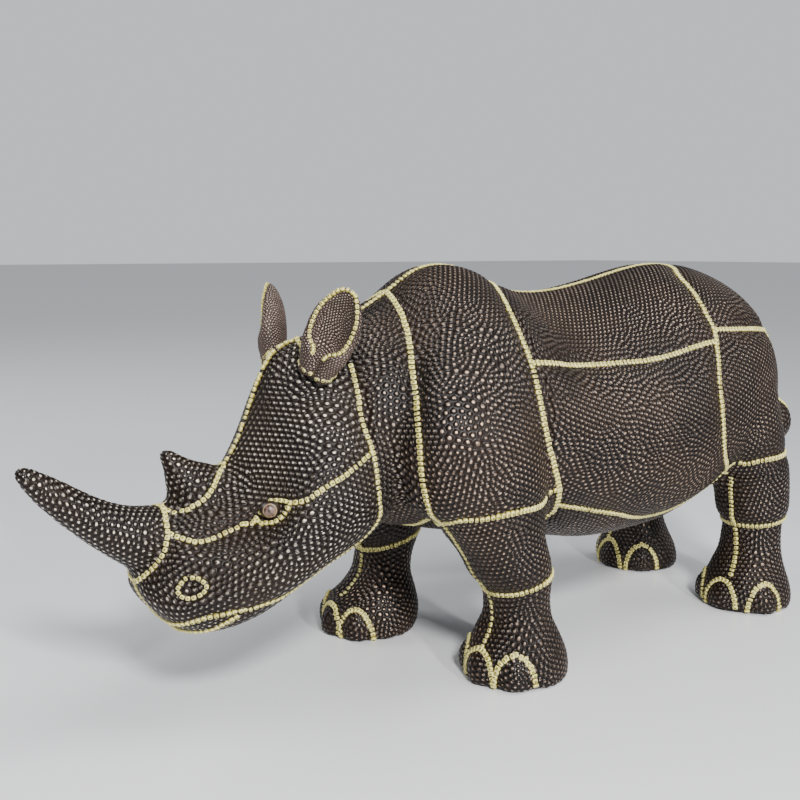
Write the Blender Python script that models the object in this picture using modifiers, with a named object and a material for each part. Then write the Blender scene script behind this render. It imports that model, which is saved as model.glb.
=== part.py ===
"""Rhinoceros figurine: one solid casting of a standing rhinoceros, its hide divided into plates by
raised seams. The figure faces -X, +Z is up, and its soles stand on Z = 0."""

import math

import bmesh
import bpy
from mathutils import Vector
from mathutils.bvhtree import BVHTree
from mathutils.kdtree import KDTree

# Driving dimensions, in metres.
FIGURE_LENGTH = 0.376       # horn tip to tail
SEAM_WIDTH = 0.0034         # a raised seam, across, where it meets the hide
RING_WIDTH = 0.0030         # the same round an eye, a nostril and an ear's root
RIM_WIDTH = 0.0022          # the same on an ear's rim
SEAM_HEIGHT = 0.0014        # how far a seam stands proud of the hide
SEAM_ROOT = 0.0020          # how deep a seam's foot reaches into the hide

# The form is free carving, so it is given in shares of the length: one unit is a 376th of it,
# which is a millimetre at the modelled size. X runs backwards from the carver's own zero mark,
# and CENTRE_X is the middle of the figure there.
UNIT = FIGURE_LENGTH / 376.0
CENTRE_X = -16.0

# Neck and torso, from inside the head to the rump: x, top, bottom, half width, and how square the
# upper half is, under 2 where the back rises to a ridge.
TORSO = [
    (-98, 126, 90, 20, 1.8),
    (-88, 137, 76, 29, 1.75),
    (-76, 145.5, 66.5, 35.5, 1.7),
    (-66, 151, 61.5, 39.5, 1.65),
    (-57, 156.5, 59, 43.5, 1.62),
    (-47, 162.5, 57, 49, 1.62),
    (-36, 165, 54.5, 53.5, 1.62),
    (-24, 163.5, 52, 56.5, 1.62),
    (-12, 158.7, 51.2, 58, 1.6),
    (0, 154, 48.2, 58, 1.58),
    (14, 152.6, 45, 58.5, 1.58),
    (30, 153.5, 42, 60, 1.6),
    (50, 157, 42, 60.5, 1.62),
    (68, 161, 43, 60, 1.66),
    (84, 163.7, 47, 59, 1.72),
    (100, 163.8, 53, 57, 1.82),
    (115, 160.5, 58, 53, 1.95),
    (130, 153.5, 62.5, 46.5, 2.05),
    (144, 142.5, 68, 37, 2.1),
    (155, 129.5, 77, 27, 2.1),
    (162, 116, 87, 17.5, 2.1),
    (165, 106, 95, 8.5, 2.1),
]

# Head, from inside the neck to the muzzle: brow x, z, jaw x, z, half width, squareness above.
HEAD = [
    (-82, 140, -70, 69, 31, 1.9),
    (-91.5, 139.5, -78, 61, 34.5, 1.55),
    (-102, 137.8, -87, 55.3, 35.8, 1.3),
    (-110.5, 134, -98, 50.8, 36.5, 1.12),
    (-117, 124.5, -108, 46, 36, 1.05),
    (-122.5, 110.5, -118, 41.3, 34.5, 1.03),
    (-129.5, 96, -128, 37.2, 32, 1.15),
    (-139, 86.5, -138, 34.3, 28.5, 1.5),
    (-149.5, 81.5, -146.3, 33.2, 25, 1.95),
    (-157.5, 76.5, -152.5, 34.3, 21.5, 2.3),
    (-162.5, 70, -157, 37.5, 17.5, 2.4),
    (-166, 62, -161, 43.5, 12.5, 2.4),
    (-167.8, 57, -165, 49, 6.5, 2.4),
]

# Horns, from inside the head to the tip: upper or front x, z, lower or rear x, z, half width.
FRONT_HORN = [
    (-148, 80, -157, 53, 12),
    (-156, 81.3, -166, 58.6, 12),
    (-164, 81, -173.5, 64, 10.6),
    (-174, 84.3, -182.8, 71.8, 8.6),
    (-184, 90.2, -190.9, 79.4, 7),
    (-191.5, 95, -197.2, 86.2, 5.7),
    (-198.5, 99, -202.2, 92.8, 4),
    (-203, 100.6, -205, 97, 2.2),
]
REAR_HORN = [
    (-156, 74, -126, 86, 11),
    (-152.8, 81, -131, 92, 9.5),
    (-152.7, 87.5, -141, 94.5, 6.2),
    (-154, 94, -147.5, 98, 3.6),
    (-155.8, 99.8, -152.3, 101.3, 1.8),
]

# Legs, from below the sole to inside the body: z, x, distance from the middle, radius along x,
# radius across.
FORELEG = [
    (-4, -22.5, 38.5, 20.5, 20.5),
    (3, -22.3, 38.5, 21.8, 21.2),
    (10, -22.6, 38.5, 21, 20.6),
    (18, -22.3, 39, 16.8, 17.2),
    (25, -22.4, 39.5, 13.2, 14.2),
    (33, -23.4, 40, 13.2, 13.8),
    (38, -24.5, 40, 14.6, 15),
    (43, -26, 40, 17.4, 17),
    (52, -30, 39.5, 18.2, 17.2),
    (60, -34, 39, 20.5, 17.8),
    (68, -37.5, 38.5, 24.5, 19.5),
    (74, -41, 38, 29.5, 22),
    (86, -43, 37, 32, 23.5),
    (104, -43, 36, 33, 22.5),
    (124, -40, 31, 28, 17.5),
    (140, -38, 24, 19, 9),
]
HIND_LEG = [
    (-4, 126, 37, 20, 20),
    (3, 126, 37, 22.3, 21.3),
    (10, 126, 37, 21.3, 20.3),
    (18, 126.5, 37.5, 17.6, 17),
    (26, 127.3, 38, 14.4, 14.4),
    (35, 127.7, 38, 13.4, 13.8),
    (40, 127.8, 38, 14.2, 14.4),
    (44, 127.8, 38, 16.8, 16.4),
    (54, 126.6, 38, 17, 17.2),
    (64, 124.3, 37.8, 17.6, 18.4),
    (74, 120, 37, 20.5, 19.8),
    (90, 112.5, 34.5, 24, 22.5),
    (108, 107, 32, 27, 23),
    (126, 104, 29, 25, 20),
    (140, 102, 26, 18, 12),
]
FORE_TOES = (-42, 2, 50)     # degrees outwards from straight ahead
HIND_TOES = (-52, 4, 66)
TOE_REACH = 13.5
TOE_RADIUS = 9.6
TOE_ARC = (9.2, 16.5)        # half width and height of the seam over a toe
FAR_STRIDE = 22.5            # the far forefoot stands this far ahead of the near one
FAR_HIND_STRIDE = -4         # the far hind foot stands a little behind the near one
STRIDE_TOP = 70              # where the step forward has faded out

# Ear, from its root to its tip: share of the height, half width, wall, half angle of the shell.
EAR = [
    (-0.14, 6.8, 6.4, 165),
    (0.0, 7.6, 7.2, 165),
    (0.12, 8.7, 8.1, 160),
    (0.22, 9.4, 5.2, 152),
    (0.32, 9.8, 3.8, 120),
    (0.44, 10.0, 3.4, 110),
    (0.58, 9.8, 3.2, 105),
    (0.72, 8.9, 3.1, 100),
    (0.85, 7.0, 3.0, 95),
    (0.95, 4.9, 2.8, 90),
    (1.0, 3.0, 2.4, 85),
]
EAR_LIP = (0.17, 9, 0, 0)    # the lip below the opening, in front
EAR_ROOT = (-101, 18, 128)
EAR_TIP = (-95.5, 31.5, 155.8)
EAR_FACING = 38              # degrees outwards from straight ahead
EAR_FLATNESS = 0.62          # depth of the ear over its width

TAIL = [
    (148, 135, 5.0),
    (158, 125, 5.6),
    (165, 112, 5.4),
    (167.5, 99, 4.8),
    (165, 87, 4.4),
    (158.5, 77, 4.6),
    (151, 69.5, 4.6),
    (146, 65, 2.4),
]
BUTTOCK = (139, 37.5, 88.5, 10, 9.5, 12)
EYE = (-124.2, 25.0, 79.6, 3.8, 3.2, 3.0)

TORSO_POINTS = 48
LIMB_POINTS = 32
STEPS = 4                    # rings between two stations
VOXEL = 1.5                  # grain of the fused form, in units
SMOOTHING = 6
FOLD_DEPTH = 1.2             # how far the hide dips at a seam, and how wide the dip is
FOLD_WIDTH = 4.2
FORM_TRIANGLES = 24000
SOLID_TRIANGLES = 9600
SEAM_STEP = 9.0              # between two rings of a seam


def signed_power(value, power):
    return math.copysign(abs(value) ** power, value)


def between(stations, steps=STEPS):
    """The stations with rings added between them on one smooth curve."""
    rows = []
    last = len(stations) - 1
    for i in range(last):
        rows_near = [stations[max(0, min(last, i + k))] for k in (-1, 0, 1, 2)]
        for step in range(steps):
            t = step / steps
            weights = (
                (-t + 2 * t * t - t ** 3) / 2,
                (2 - 5 * t * t + 3 * t ** 3) / 2,
                (t + 4 * t * t - 3 * t ** 3) / 2,
                (-t * t + t ** 3) / 2,
            )
            rows.append(tuple(sum(w * v for w, v in zip(weights, column)) for column in zip(*rows_near)))
    rows.append(tuple(stations[-1]))
    return rows


def station_at(stations, z):
    """A leg's values at a height, read from its stations."""
    rows = between(stations)
    for low, high in zip(rows, rows[1:]):
        if low[0] <= z <= high[0]:
            share = (z - low[0]) / (high[0] - low[0])
            return [a + (b - a) * share for a, b in zip(low, high)]
    return rows[-1]


def upright_ring(upper_x, upper_z, lower_x, lower_z, half_width, narrowing, squareness, count, above=None):
    """A ring round the two points of its profile, narrower above by the given share."""
    middle_x, middle_z = (upper_x + lower_x) / 2, (upper_z + lower_z) / 2
    half_x, half_z = (upper_x - lower_x) / 2, (upper_z - lower_z) / 2
    points = []
    for i in range(count):
        angle = 2 * math.pi * i / count
        power = 2 / (above if above and angle < math.pi else squareness)
        rise = signed_power(math.sin(angle), power)
        across = signed_power(math.cos(angle), power) * (1 - narrowing * rise)
        points.append(Vector((middle_x + half_x * rise, half_width * across, middle_z + half_z * rise)))
    return points


def loft(bm, rings):
    """A closed skin from ring to ring."""
    loops = [[bm.verts.new(to_frame(p)) for p in points] for points in rings]
    for first, second in zip(loops, loops[1:]):
        for i in range(len(first)):
            j = (i + 1) % len(first)
            bm.faces.new((first[i], first[j], second[j], second[i]))
    bm.faces.new(loops[0])
    bm.faces.new(loops[-1])


def to_frame(point):
    """From the carver's units to metres, with the figure's middle at X = 0."""
    return Vector((point[0] - CENTRE_X, point[1], point[2])) * UNIT


def ellipsoid(bm, x, y, z, radius_x, radius_y, radius_z):
    made = bmesh.ops.create_uvsphere(bm, u_segments=24, v_segments=14, radius=1)["verts"]
    for vert in made:
        co = vert.co
        vert.co = to_frame((x + co.x * radius_x, y + co.y * radius_y, z + co.z * radius_z))


def mesh_object(name, bm):
    bmesh.ops.recalc_face_normals(bm, faces=bm.faces)
    mesh = bpy.data.meshes.new(name)
    bm.to_mesh(mesh)
    bm.free()
    return link_mesh(name, mesh)


def link_mesh(name, mesh):
    made = bpy.data.objects.new(name, mesh)
    bpy.context.scene.collection.objects.link(made)
    return made


def evaluated_mesh(obj):
    graph = bpy.context.evaluated_depsgraph_get()
    return bpy.data.meshes.new_from_object(obj.evaluated_get(graph))


def drop(obj):
    bpy.data.objects.remove(obj)


# The forms of the animal

def build_torso(bm):
    rings = []
    for x, top, bottom, half, above in between(TORSO):
        rings.append(upright_ring(x, top, x, bottom, half, 0.03, 2.25, TORSO_POINTS, above))
    loft(bm, rings)


def build_head(bm):
    for stations, narrowing, squareness in ((HEAD, 0.2, 2.4), (FRONT_HORN, 0, 2), (REAR_HORN, 0, 2)):
        rings = []
        for row in between(stations):
            rings.append(upright_ring(*row[:5], narrowing, squareness, LIMB_POINTS, *row[5:]))
        loft(bm, rings)


def stride_at(z, stride):
    return stride * max(0.0, 1 - z / STRIDE_TOP)


def toe_place(stations, degrees, side, stride, reach, lateral=0.0):
    """A point at a reach from the middle of the foot, in the direction of a toe."""
    out = math.radians(degrees)
    x = stations[1][1] - stride - reach * math.cos(out) + lateral * math.sin(out)
    y = stations[1][2] + reach * math.sin(out) + lateral * math.cos(out)
    return x, side * y


def build_leg(bm, stations, toes, side, stride):
    rings = []
    for z, x, y, radius_x, radius_y in between(stations):
        middle_x = x - stride_at(z, stride)
        turn = [2 * math.pi * i / LIMB_POINTS for i in range(LIMB_POINTS)]
        rings.append([(middle_x + radius_x * math.cos(a), side * y + radius_y * math.sin(a), z) for a in turn])
    loft(bm, rings)
    for degrees in toes:
        x, y = toe_place(stations, degrees, side, stride, TOE_REACH)
        ellipsoid(bm, x, y, 5, TOE_RADIUS, TOE_RADIUS, TOE_RADIUS * 1.25)


def ear_frame(side):
    root = Vector((EAR_ROOT[0], side * EAR_ROOT[1], EAR_ROOT[2]))
    tip = Vector((EAR_TIP[0], side * EAR_TIP[1], EAR_TIP[2]))
    up = (tip - root).normalized()
    facing = math.radians(EAR_FACING)
    front = Vector((-math.cos(facing), side * math.sin(facing), 0))
    front = (front - up * front.dot(up)).normalized()
    return root, tip, front, up.cross(front)


def ear_point(side, row, angle, inset):
    """A point of the ear's shell, at an angle from its back and some way in from its outside."""
    share, radius, _, _ = row
    root, tip, front, across = ear_frame(side)
    depth = max(radius * EAR_FLATNESS - inset, 0.06 * radius)
    return root.lerp(tip, share) - front * depth * math.cos(angle) + across * (radius - inset) * math.sin(angle)


def build_ear(bm, side):
    rings = []
    half_count = LIMB_POINTS // 2
    for row in between(EAR):
        opening = math.radians(row[3])
        turn = [opening * (2 * i / (half_count - 1) - 1) for i in range(half_count)]
        outer = [ear_point(side, row, a, 0) for a in turn]
        inner = [ear_point(side, row, -a, row[2]) for a in turn]
        rings.append(outer + inner)
    loft(bm, rings)


def build_tail(bm):
    rings = []
    rows = between(TAIL)
    for i, (x, z, radius) in enumerate(rows):
        before, after = rows[max(i - 1, 0)], rows[min(i + 1, len(rows) - 1)]
        along = Vector((after[0] - before[0], 0, after[1] - before[1])).normalized()
        out = Vector((-along.z, 0, along.x))
        ring = []
        for k in range(LIMB_POINTS):
            angle = 2 * math.pi * k / LIMB_POINTS
            across = Vector((0, math.cos(angle), 0)) + out * math.sin(angle)
            ring.append(Vector((x, 0, z)) + across * radius)
        rings.append(ring)
    loft(bm, rings)


def build_form():
    """The whole animal fused into one smooth skin, without its seams."""
    bm = bmesh.new()
    build_torso(bm)
    build_head(bm)
    for side in (-1, 1):
        build_leg(bm, FORELEG, FORE_TOES, side, FAR_STRIDE if side > 0 else 0)
        build_leg(bm, HIND_LEG, HIND_TOES, side, FAR_HIND_STRIDE if side > 0 else 0)
        build_ear(bm, side)
        for x, y, z, *radii in (BUTTOCK, EYE):
            ellipsoid(bm, x, side * y, z, *radii)
    build_tail(bm)
    form = mesh_object("form", bm)
    remesh = form.modifiers.new("fuse", "REMESH")
    remesh.mode = "VOXEL"
    remesh.voxel_size = VOXEL * UNIT
    smooth = form.modifiers.new("soften", "SMOOTH")
    smooth.factor = 0.5
    smooth.iterations = SMOOTHING
    fused = link_mesh("fused", evaluated_mesh(form))
    drop(form)
    return fused


# The seams, as points in the carver's units with the near side's distance from the middle as y

SIDE_SEAMS = {
    "neck": [
        (-60, 0, 154.5), (-62.1, 11.1, 149.7), (-63.5, 18.7, 143.6), (-65.4, 24.9, 136.5),
        (-67.9, 30.5, 127.8), (-71.3, 37.4, 115.8), (-74.2, 43.5, 102.2), (-73.4, 44.4, 87.5),
        (-71.1, 44.2, 77.8), (-61.7, 40.2, 67.8)
    ],
    "brisket": [
        (-61.7, 40.2, 67.8), (-58, 30, 64.5), (-56, 17, 61), (-55.5, 0, 59.2)
    ],
    "shoulder": [
        (-9, 0, 157.4), (-14, 12, 156), (-17.9, 20.5, 154), (-22.1, 31.8, 147.5), (-24.1, 40.3, 139.5),
        (-24.8, 47.2, 130.4), (-25.5, 52.2, 121.4), (-25.4, 55.8, 110.4), (-22.7, 56.5, 98.7),
        (-18.5, 55.7, 88.4), (-12, 52.5, 76.5)
    ],
    "shoulder_hem": [
        (-61.7, 40.2, 67.8), (-60.7, 51.2, 71), (-55, 55.7, 71.5), (-48, 58.7, 72.7),
        (-36.6, 59.5, 73.4), (-22.4, 54.8, 73.4), (-12, 52.5, 76.5)
    ],
    "elbow": [
        (-12, 52.5, 76.5), (-9.1, 47.9, 68.4), (-8.6, 43, 62), (-13, 36, 57)
    ],
    "flank": [
        (-24.7, 48.8, 127.9), (-9.7, 47.7, 126.5), (9, 45.2, 124.7), (25.1, 46.1, 124.6),
        (40.9, 47.9, 125), (55.4, 48.6, 126.7), (67.7, 48.8, 129.1), (80.9, 49.3, 131)
    ],
    "belly": [
        (-9.1, 47.9, 68.4), (2.9, 48, 65.4), (14.7, 47.6, 62.3), (26.9, 47.2, 59.5),
        (44.8, 42.8, 54.3), (58, 41, 53), (72.5, 41, 55), (84.3, 41.8, 59.3), (91.5, 43, 64),
        (96.1, 46.7, 70.5)
    ],
    "rump": [
        (100, 0, 163.9), (96, 11, 162.3), (90.1, 20, 158.6), (87.3, 31.4, 151.2), (85, 40.4, 142.7),
        (83.8, 46.7, 135.1), (80.1, 51.7, 126.9), (74.8, 58.5, 110.5), (77.4, 59, 92.9),
        (83.6, 55.4, 80.5), (96.1, 46.7, 70.5), (107, 39.5, 60.4), (110.3, 38.6, 50),
        (113.2, 38.6, 38), (111.8, 40.9, 24.5), (109.1, 41.4, 17.3)
    ],
    "croup": [
        (84.5, 46.3, 135.8), (96.2, 47.2, 135.5), (107.7, 46.5, 135), (120, 43, 134),
        (132, 37.2, 132.8), (142, 27, 131.5), (149, 13, 131), (151.5, 6, 130.5)
    ],
    "thigh": [
        (132, 37.2, 132.8), (136, 39.5, 120), (138, 41, 108), (140, 41.5, 100), (145.5, 41.5, 95),
        (148.5, 40, 88), (146, 38, 79.5)
    ],
    "hock": [
        (96.1, 46.7, 70.5), (105.3, 49.4, 72.2), (109.8, 54, 73.9), (117.3, 56.6, 74.9),
        (125.9, 55.7, 75.6), (134.5, 51, 76.5), (139.5, 43, 77.3), (140, 34, 77.5), (135.5, 24, 77.5)
    ],
    "cheek": [
        (-87.2, 17.9, 128.9), (-87.9, 22.6, 122.8), (-88.6, 26.5, 115.9), (-89.3, 30.2, 109.1),
        (-88.6, 33.8, 102.2), (-87.4, 35.3, 96.8), (-86.3, 36.2, 87.6), (-85, 35.5, 80),
        (-82.6, 32, 71.5), (-84.5, 28.5, 64.5), (-90, 27, 60), (-97.3, 26.5, 56.6), (-106.4, 26.5, 52),
        (-117, 27.5, 47.8), (-129.8, 29, 46.4), (-136.4, 27.6, 44.7)
    ],
    "upper_lip": [
        (-136.4, 27.6, 44.7), (-142.3, 26.5, 44.9), (-149.5, 23.4, 44), (-154.8, 18.4, 41.4),
        (-158, 10, 39.8), (-159, 0, 39.6)
    ],
    "lower_lip": [
        (-136.4, 27.6, 44.7), (-141.2, 23.7, 40.5), (-145.1, 18.7, 37.1), (-149.5, 14.1, 35.5),
        (-153.3, 8.5, 35), (-154.5, 0, 34.6)
    ],
    "brow_back": [
        (-87.2, 35, 98.5), (-93.4, 36, 94.7), (-100.9, 36.7, 90.7), (-106.6, 36.6, 88.5),
        (-111.7, 35.7, 86.1), (-115.7, 33.5, 83.7), (-119.4, 29.3, 82.5)
    ],
    "brow_front": [
        (-131.6, 24.4, 78.5), (-132.6, 23.6, 77.4), (-133.4, 20.8, 75.5), (-135.8, 20.2, 74),
        (-139.5, 19.5, 72.7), (-144.3, 19.2, 71.3), (-149, 18.1, 70.7), (-153.2, 15.2, 71.8),
        (-157.1, 11.4, 73.6)
    ],
    "poll": [
        (-106, 16, 130.5), (-104.5, 13, 133.4), (-101.5, 7, 136.5), (-100.5, 0, 138)
    ],
}
MIDDLE_SEAMS = {
    "spine": [
        (-80, 0, 141.5), (-75.3, 0, 143.8), (-69.3, 0, 148.7), (-60, 0, 154.5), (-50.3, 0, 160.9),
        (-43, 0, 164), (-32.9, 0, 164.3), (-22.6, 0, 162.6), (-9, 0, 157.4), (-0.9, 0, 153.8),
        (10.4, 0, 153.2), (24.9, 0, 153.8), (43, 0, 156.1), (58.7, 0, 159), (74.9, 0, 162.1),
        (91.8, 0, 163.8), (100, 0, 163.9)
    ],
    "forehead": [
        (-131.3, 0, 94.6), (-127.6, 0, 101), (-123.8, 0, 108.1), (-120.4, 0, 116.7), (-118.2, 0, 124),
        (-114.7, 0, 130.5), (-111.2, 0, 134.7), (-107.5, 0, 136.6), (-103.7, 0, 137.7),
        (-100.5, 0, 138)
    ],
    "muzzle": [
        (-168, 0, 54), (-166.8, 0, 50.5), (-164.3, 0, 47.5), (-161.2, 0, 43.2), (-159, 0, 39.6)
    ],
}
SHIN_SEAM = [
    (-61.7, 40.2, 67.8), (-56.1, 39, 62), (-49, 36.5, 53.5), (-43.5, 36.5, 45.6), (-39.5, 38, 38.6),
    (-37, 38.5, 32), (-36.2, 38.5, 26.5), (-38, 39.5, 21.5), (-41.3, 39.7, 15.7)
]
# Rings on one side, and half rings that both sides share
RING_SEAMS = {
    "eye": [
        (-131.6, 24.4, 78.5), (-130.4, 24.4, 80.5), (-128.2, 24.5, 82.1), (-125.3, 23.9, 82.9),
        (-122.3, 25, 83.2), (-119.4, 29.3, 82.5), (-120.7, 29.6, 80.1), (-122.1, 29.1, 77.7),
        (-124.2, 27.8, 76), (-126.7, 25.9, 75.5), (-129.2, 24.6, 76.4)
    ],
    "nostril": [
        (-157.9, 19.1, 54.8), (-156.7, 19.9, 56.9), (-154.6, 21.1, 58.6), (-152, 22.5, 58.7),
        (-150, 23.8, 57.5), (-149.1, 24.6, 55.5), (-150.3, 24.2, 54), (-152.4, 23.2, 52.9),
        (-155, 21.6, 52.3), (-156.9, 20.1, 52.7)
    ],
    "ear": [
        (-107, 12, 130.5), (-106.3, 17, 127.3), (-104.5, 20.5, 124.4), (-101, 23.5, 122.6),
        (-97, 25.5, 121.8), (-94.5, 24.5, 123), (-94, 20, 126), (-95.5, 14.5, 130), (-100, 10.5, 133),
        (-104.5, 10, 132.5)
    ],
}
HALF_RINGS = {
    "front_horn": [
        (-155, 0, 81.6), (-155.4, 2.9, 81.1), (-156.4, 8.9, 77.2), (-157.1, 11.4, 73.6),
        (-158.9, 12.9, 69.6), (-160.9, 13, 65.4), (-163.8, 10.7, 61), (-166.1, 7, 57.6), (-168, 0, 54)
    ],
    "rear_horn": [
        (-156, 0, 81.2), (-153.9, 5.6, 80), (-150.5, 8.1, 79.7), (-146.3, 9.7, 81.3),
        (-141.9, 10.1, 83.6), (-138.8, 9.4, 86.7), (-135.7, 7, 90.2), (-131.3, 0, 93.4)
    ],
}
# The mouth and a nostril, hollows in the hide: points, depth, how wide
HOLLOWS = [
    ([
        (-137, 27, 44), (-142, 24.5, 42.4), (-147, 21.5, 40.2), (-151.5, 16.5, 38.4), (-155, 10, 37.4),
        (-156.8, 0, 37)
    ], 1.6, 1.9),
    ([(-153.6, 22, 55.7)], 2.6, 2.6),
]


def leg_ring(stations, z, first, last, side, stride, rise=0.0):
    """Points round a leg from one outward angle to another, rising by so much over a half turn."""
    points = []
    count = max(3, round(abs(last - first) / 15))
    for i in range(count + 1):
        degrees = first + (last - first) * i / count
        height = z + rise * (1 - math.cos(math.radians(degrees))) / 2
        _, x, y, radius_x, radius_y = station_at(stations, height)
        out = math.radians(degrees)
        px = x - stride_at(height, stride) - radius_x * math.cos(out)
        points.append(Vector((px, side * (y + radius_y * math.sin(out)), height)))
    return points


def leg_seams(side):
    """The seams of the two legs of one side: rings, shin seam and toe arcs."""
    stride, hind_stride = (FAR_STRIDE, FAR_HIND_STRIDE) if side > 0 else (0, 0)
    seams = [[Vector((x - stride_at(z, stride), side * y, z)) for x, y, z in SHIN_SEAM]]
    for stations, toes, far_stride, ring_list in (
        (FORELEG, FORE_TOES, stride, [(36.2, -180, 180, 8)]),
        (HIND_LEG, HIND_TOES, hind_stride, [(40, -180, 180, 3)]),
    ):
        for z, first, last, rise in ring_list:
            seams.append(leg_ring(stations, z, first, last, side, far_stride, rise))
        for toe in toes:
            arc = []
            for i in range(9):
                a = math.pi * i / 8
                x, y = toe_place(stations, toe, side, far_stride, TOE_REACH + 7, TOE_ARC[0] * math.cos(a))
                arc.append(Vector((x, y, TOE_ARC[1] * math.sin(a) - 1)))
            seams.append(arc)
    return seams


def ear_rim(side):
    """A ring round the ear's opening: down one rim, over the lip below and up the other rim."""
    rows = between(EAR, 2)[6:]
    down, up = ([ear_point(side, row, way * math.radians(row[3]), row[2] / 2) for row in rows] for way in (-1, 1))
    lip = ear_point(side, EAR_LIP, math.pi, 0)
    return down[::-1] + [lip] + up + down[-1:]


def seam_paths():
    """Every seam as a width and a list of points, both sides. A ring ends where it starts."""
    paths = [(SEAM_WIDTH, [Vector(p) for p in line]) for line in MIDDLE_SEAMS.values()]
    for side in (-1, 1):
        for line in SIDE_SEAMS.values():
            paths.append((SEAM_WIDTH, [Vector((x, side * y, z)) for x, y, z in line]))
        for ring in RING_SEAMS.values():
            paths.append((RING_WIDTH, [Vector((x, side * y, z)) for x, y, z in ring + ring[:1]]))
        paths += [(SEAM_WIDTH, line) for line in leg_seams(side)]
        paths.append((RIM_WIDTH, ear_rim(side)))
    for line in HALF_RINGS.values():
        near = [Vector((x, -y, z)) for x, y, z in line]
        far = [Vector((x, y, z)) for x, y, z in line]
        paths.append((SEAM_WIDTH, near + far[-2::-1]))
    return paths


def resample(points, step):
    """Points an even step apart on the smooth curve through the given ones."""
    rows = between([tuple(p) for p in points], 8)
    fine = [Vector(r) for r in rows]
    lengths = [0.0]
    for a, b in zip(fine, fine[1:]):
        lengths.append(lengths[-1] + (b - a).length)
    count = max(2, round(lengths[-1] / step))
    placed = []
    k = 0
    for i in range(count + 1):
        target = lengths[-1] * i / count
        while k < len(fine) - 2 and lengths[k + 1] < target:
            k += 1
        span = max(lengths[k + 1] - lengths[k], 1e-9)
        placed.append(fine[k].lerp(fine[k + 1], min(1.0, (target - lengths[k]) / span)))
    return placed


def snapped(tree, points):
    """Each point moved to the skin, with the skin's normal round about there."""
    found = []
    for point in points:
        place, normal, _, _ = tree.find_nearest(to_frame(point))
        for _, other, _, _ in tree.find_nearest_range(place, 2.5 * UNIT):
            normal = normal + other
        found.append((place, normal.normalized()))
    return found


def dip(fused, marks, depth, width):
    """Lowers the hide round about the marks."""
    near = KDTree(len(marks))
    for i, place in enumerate(marks):
        near.insert(place, i)
    near.balance()
    mesh = fused.data
    for vert, normal in zip(mesh.vertices, [n.vector.copy() for n in mesh.vertex_normals]):
        _, _, distance = near.find(vert.co)
        vert.co -= normal * depth * UNIT * math.exp(-(distance / (width * UNIT)) ** 2)


def fold_hide(fused, tree):
    """Lets the hide dip a little along every seam, so that the plates stand full between them, and
    sinks the mouth and the nostrils."""
    dip(fused, [place for _, path in seam_paths() for place, _ in snapped(tree, resample(path, 1.5))],
        FOLD_DEPTH, FOLD_WIDTH)
    for points, depth, width in HOLLOWS:
        for side in (-1, 1):
            path = [Vector((x, side * y, z)) for x, y, z in points]
            if len(path) > 1:
                path = resample(path, 1.0)
            dip(fused, [place for place, _ in snapped(tree, path)], depth, width)


def build_ridge(tree, path, step, width):
    """One seam as a raised strip with a three-cornered section, closed on itself if it is a ring."""
    bm = bmesh.new()
    points = resample(path, step)
    closed = (path[0] - path[-1]).length < 0.5
    if closed:
        points.pop()
    places = snapped(tree, points)
    count = len(places)
    rings = []
    for i, (place, normal) in enumerate(places):
        if closed:
            before, after = places[i - 1][0], places[(i + 1) % count][0]
        else:
            before, after = places[max(i - 1, 0)][0], places[min(i + 1, count - 1)][0]
        along = (after - before).normalized()
        across = along.cross(normal).normalized() * width / 2 * (1 + SEAM_ROOT / SEAM_HEIGHT)
        foot = place - normal * SEAM_ROOT
        rings.append([bm.verts.new(p) for p in (foot - across, foot + across, place + normal * SEAM_HEIGHT)])
    pairs = list(zip(rings, rings[1:]))
    if closed:
        pairs.append((rings[-1], rings[0]))
    else:
        bm.faces.new(rings[0])
        bm.faces.new(rings[-1])
    for first, second in pairs:
        for i in range(3):
            j = (i + 1) % 3
            bm.faces.new((first[i], first[j], second[j], second[i]))
    return mesh_object("ridge", bm)


def combined(obj, other, operation):
    """The object's mesh after a union with, or a cut by, the other object, which is used up."""
    change = obj.modifiers.new("change", "BOOLEAN")
    change.operation = operation
    change.solver = "MANIFOLD"
    change.object = other
    bpy.context.view_layer.update()
    mesh = evaluated_mesh(obj)
    obj.modifiers.clear()
    obj.data = mesh
    drop(other)


def ground_block():
    """A block that fills everything below the soles."""
    bm = bmesh.new()
    bmesh.ops.create_cube(bm, size=1.0)
    bmesh.ops.scale(bm, verts=bm.verts, vec=(2, 2, 0.2))
    bmesh.ops.translate(bm, verts=bm.verts, vec=(0, 0, -0.1))
    return mesh_object("ground", bm)


def thinned(obj, triangles):
    """Brings the mesh down to so many triangles, sparing its sharp features."""
    thin = obj.modifiers.new("thin", "DECIMATE")
    thin.ratio = triangles / sum(len(p.vertices) - 2 for p in obj.data.polygons)
    mesh = evaluated_mesh(obj)
    obj.modifiers.clear()
    obj.data = mesh


def keep_body(obj):
    """Leaves out the crumbs that a cut can part from the body."""
    bm = bmesh.new()
    bm.from_mesh(obj.data)
    pieces = []
    seen = set()
    for start in bm.verts:
        if start in seen:
            continue
        piece, front = set(), [start]
        while front:
            vert = front.pop()
            if vert not in piece:
                piece.add(vert)
                front += [e.other_vert(vert) for e in vert.link_edges]
        seen |= piece
        pieces.append(piece)
    pieces.sort(key=len)
    for piece in pieces[:-1]:
        bmesh.ops.delete(bm, geom=list(piece), context="VERTS")
    bmesh.ops.triangulate(bm, faces=bm.faces)
    bm.to_mesh(obj.data)
    bm.free()


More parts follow.
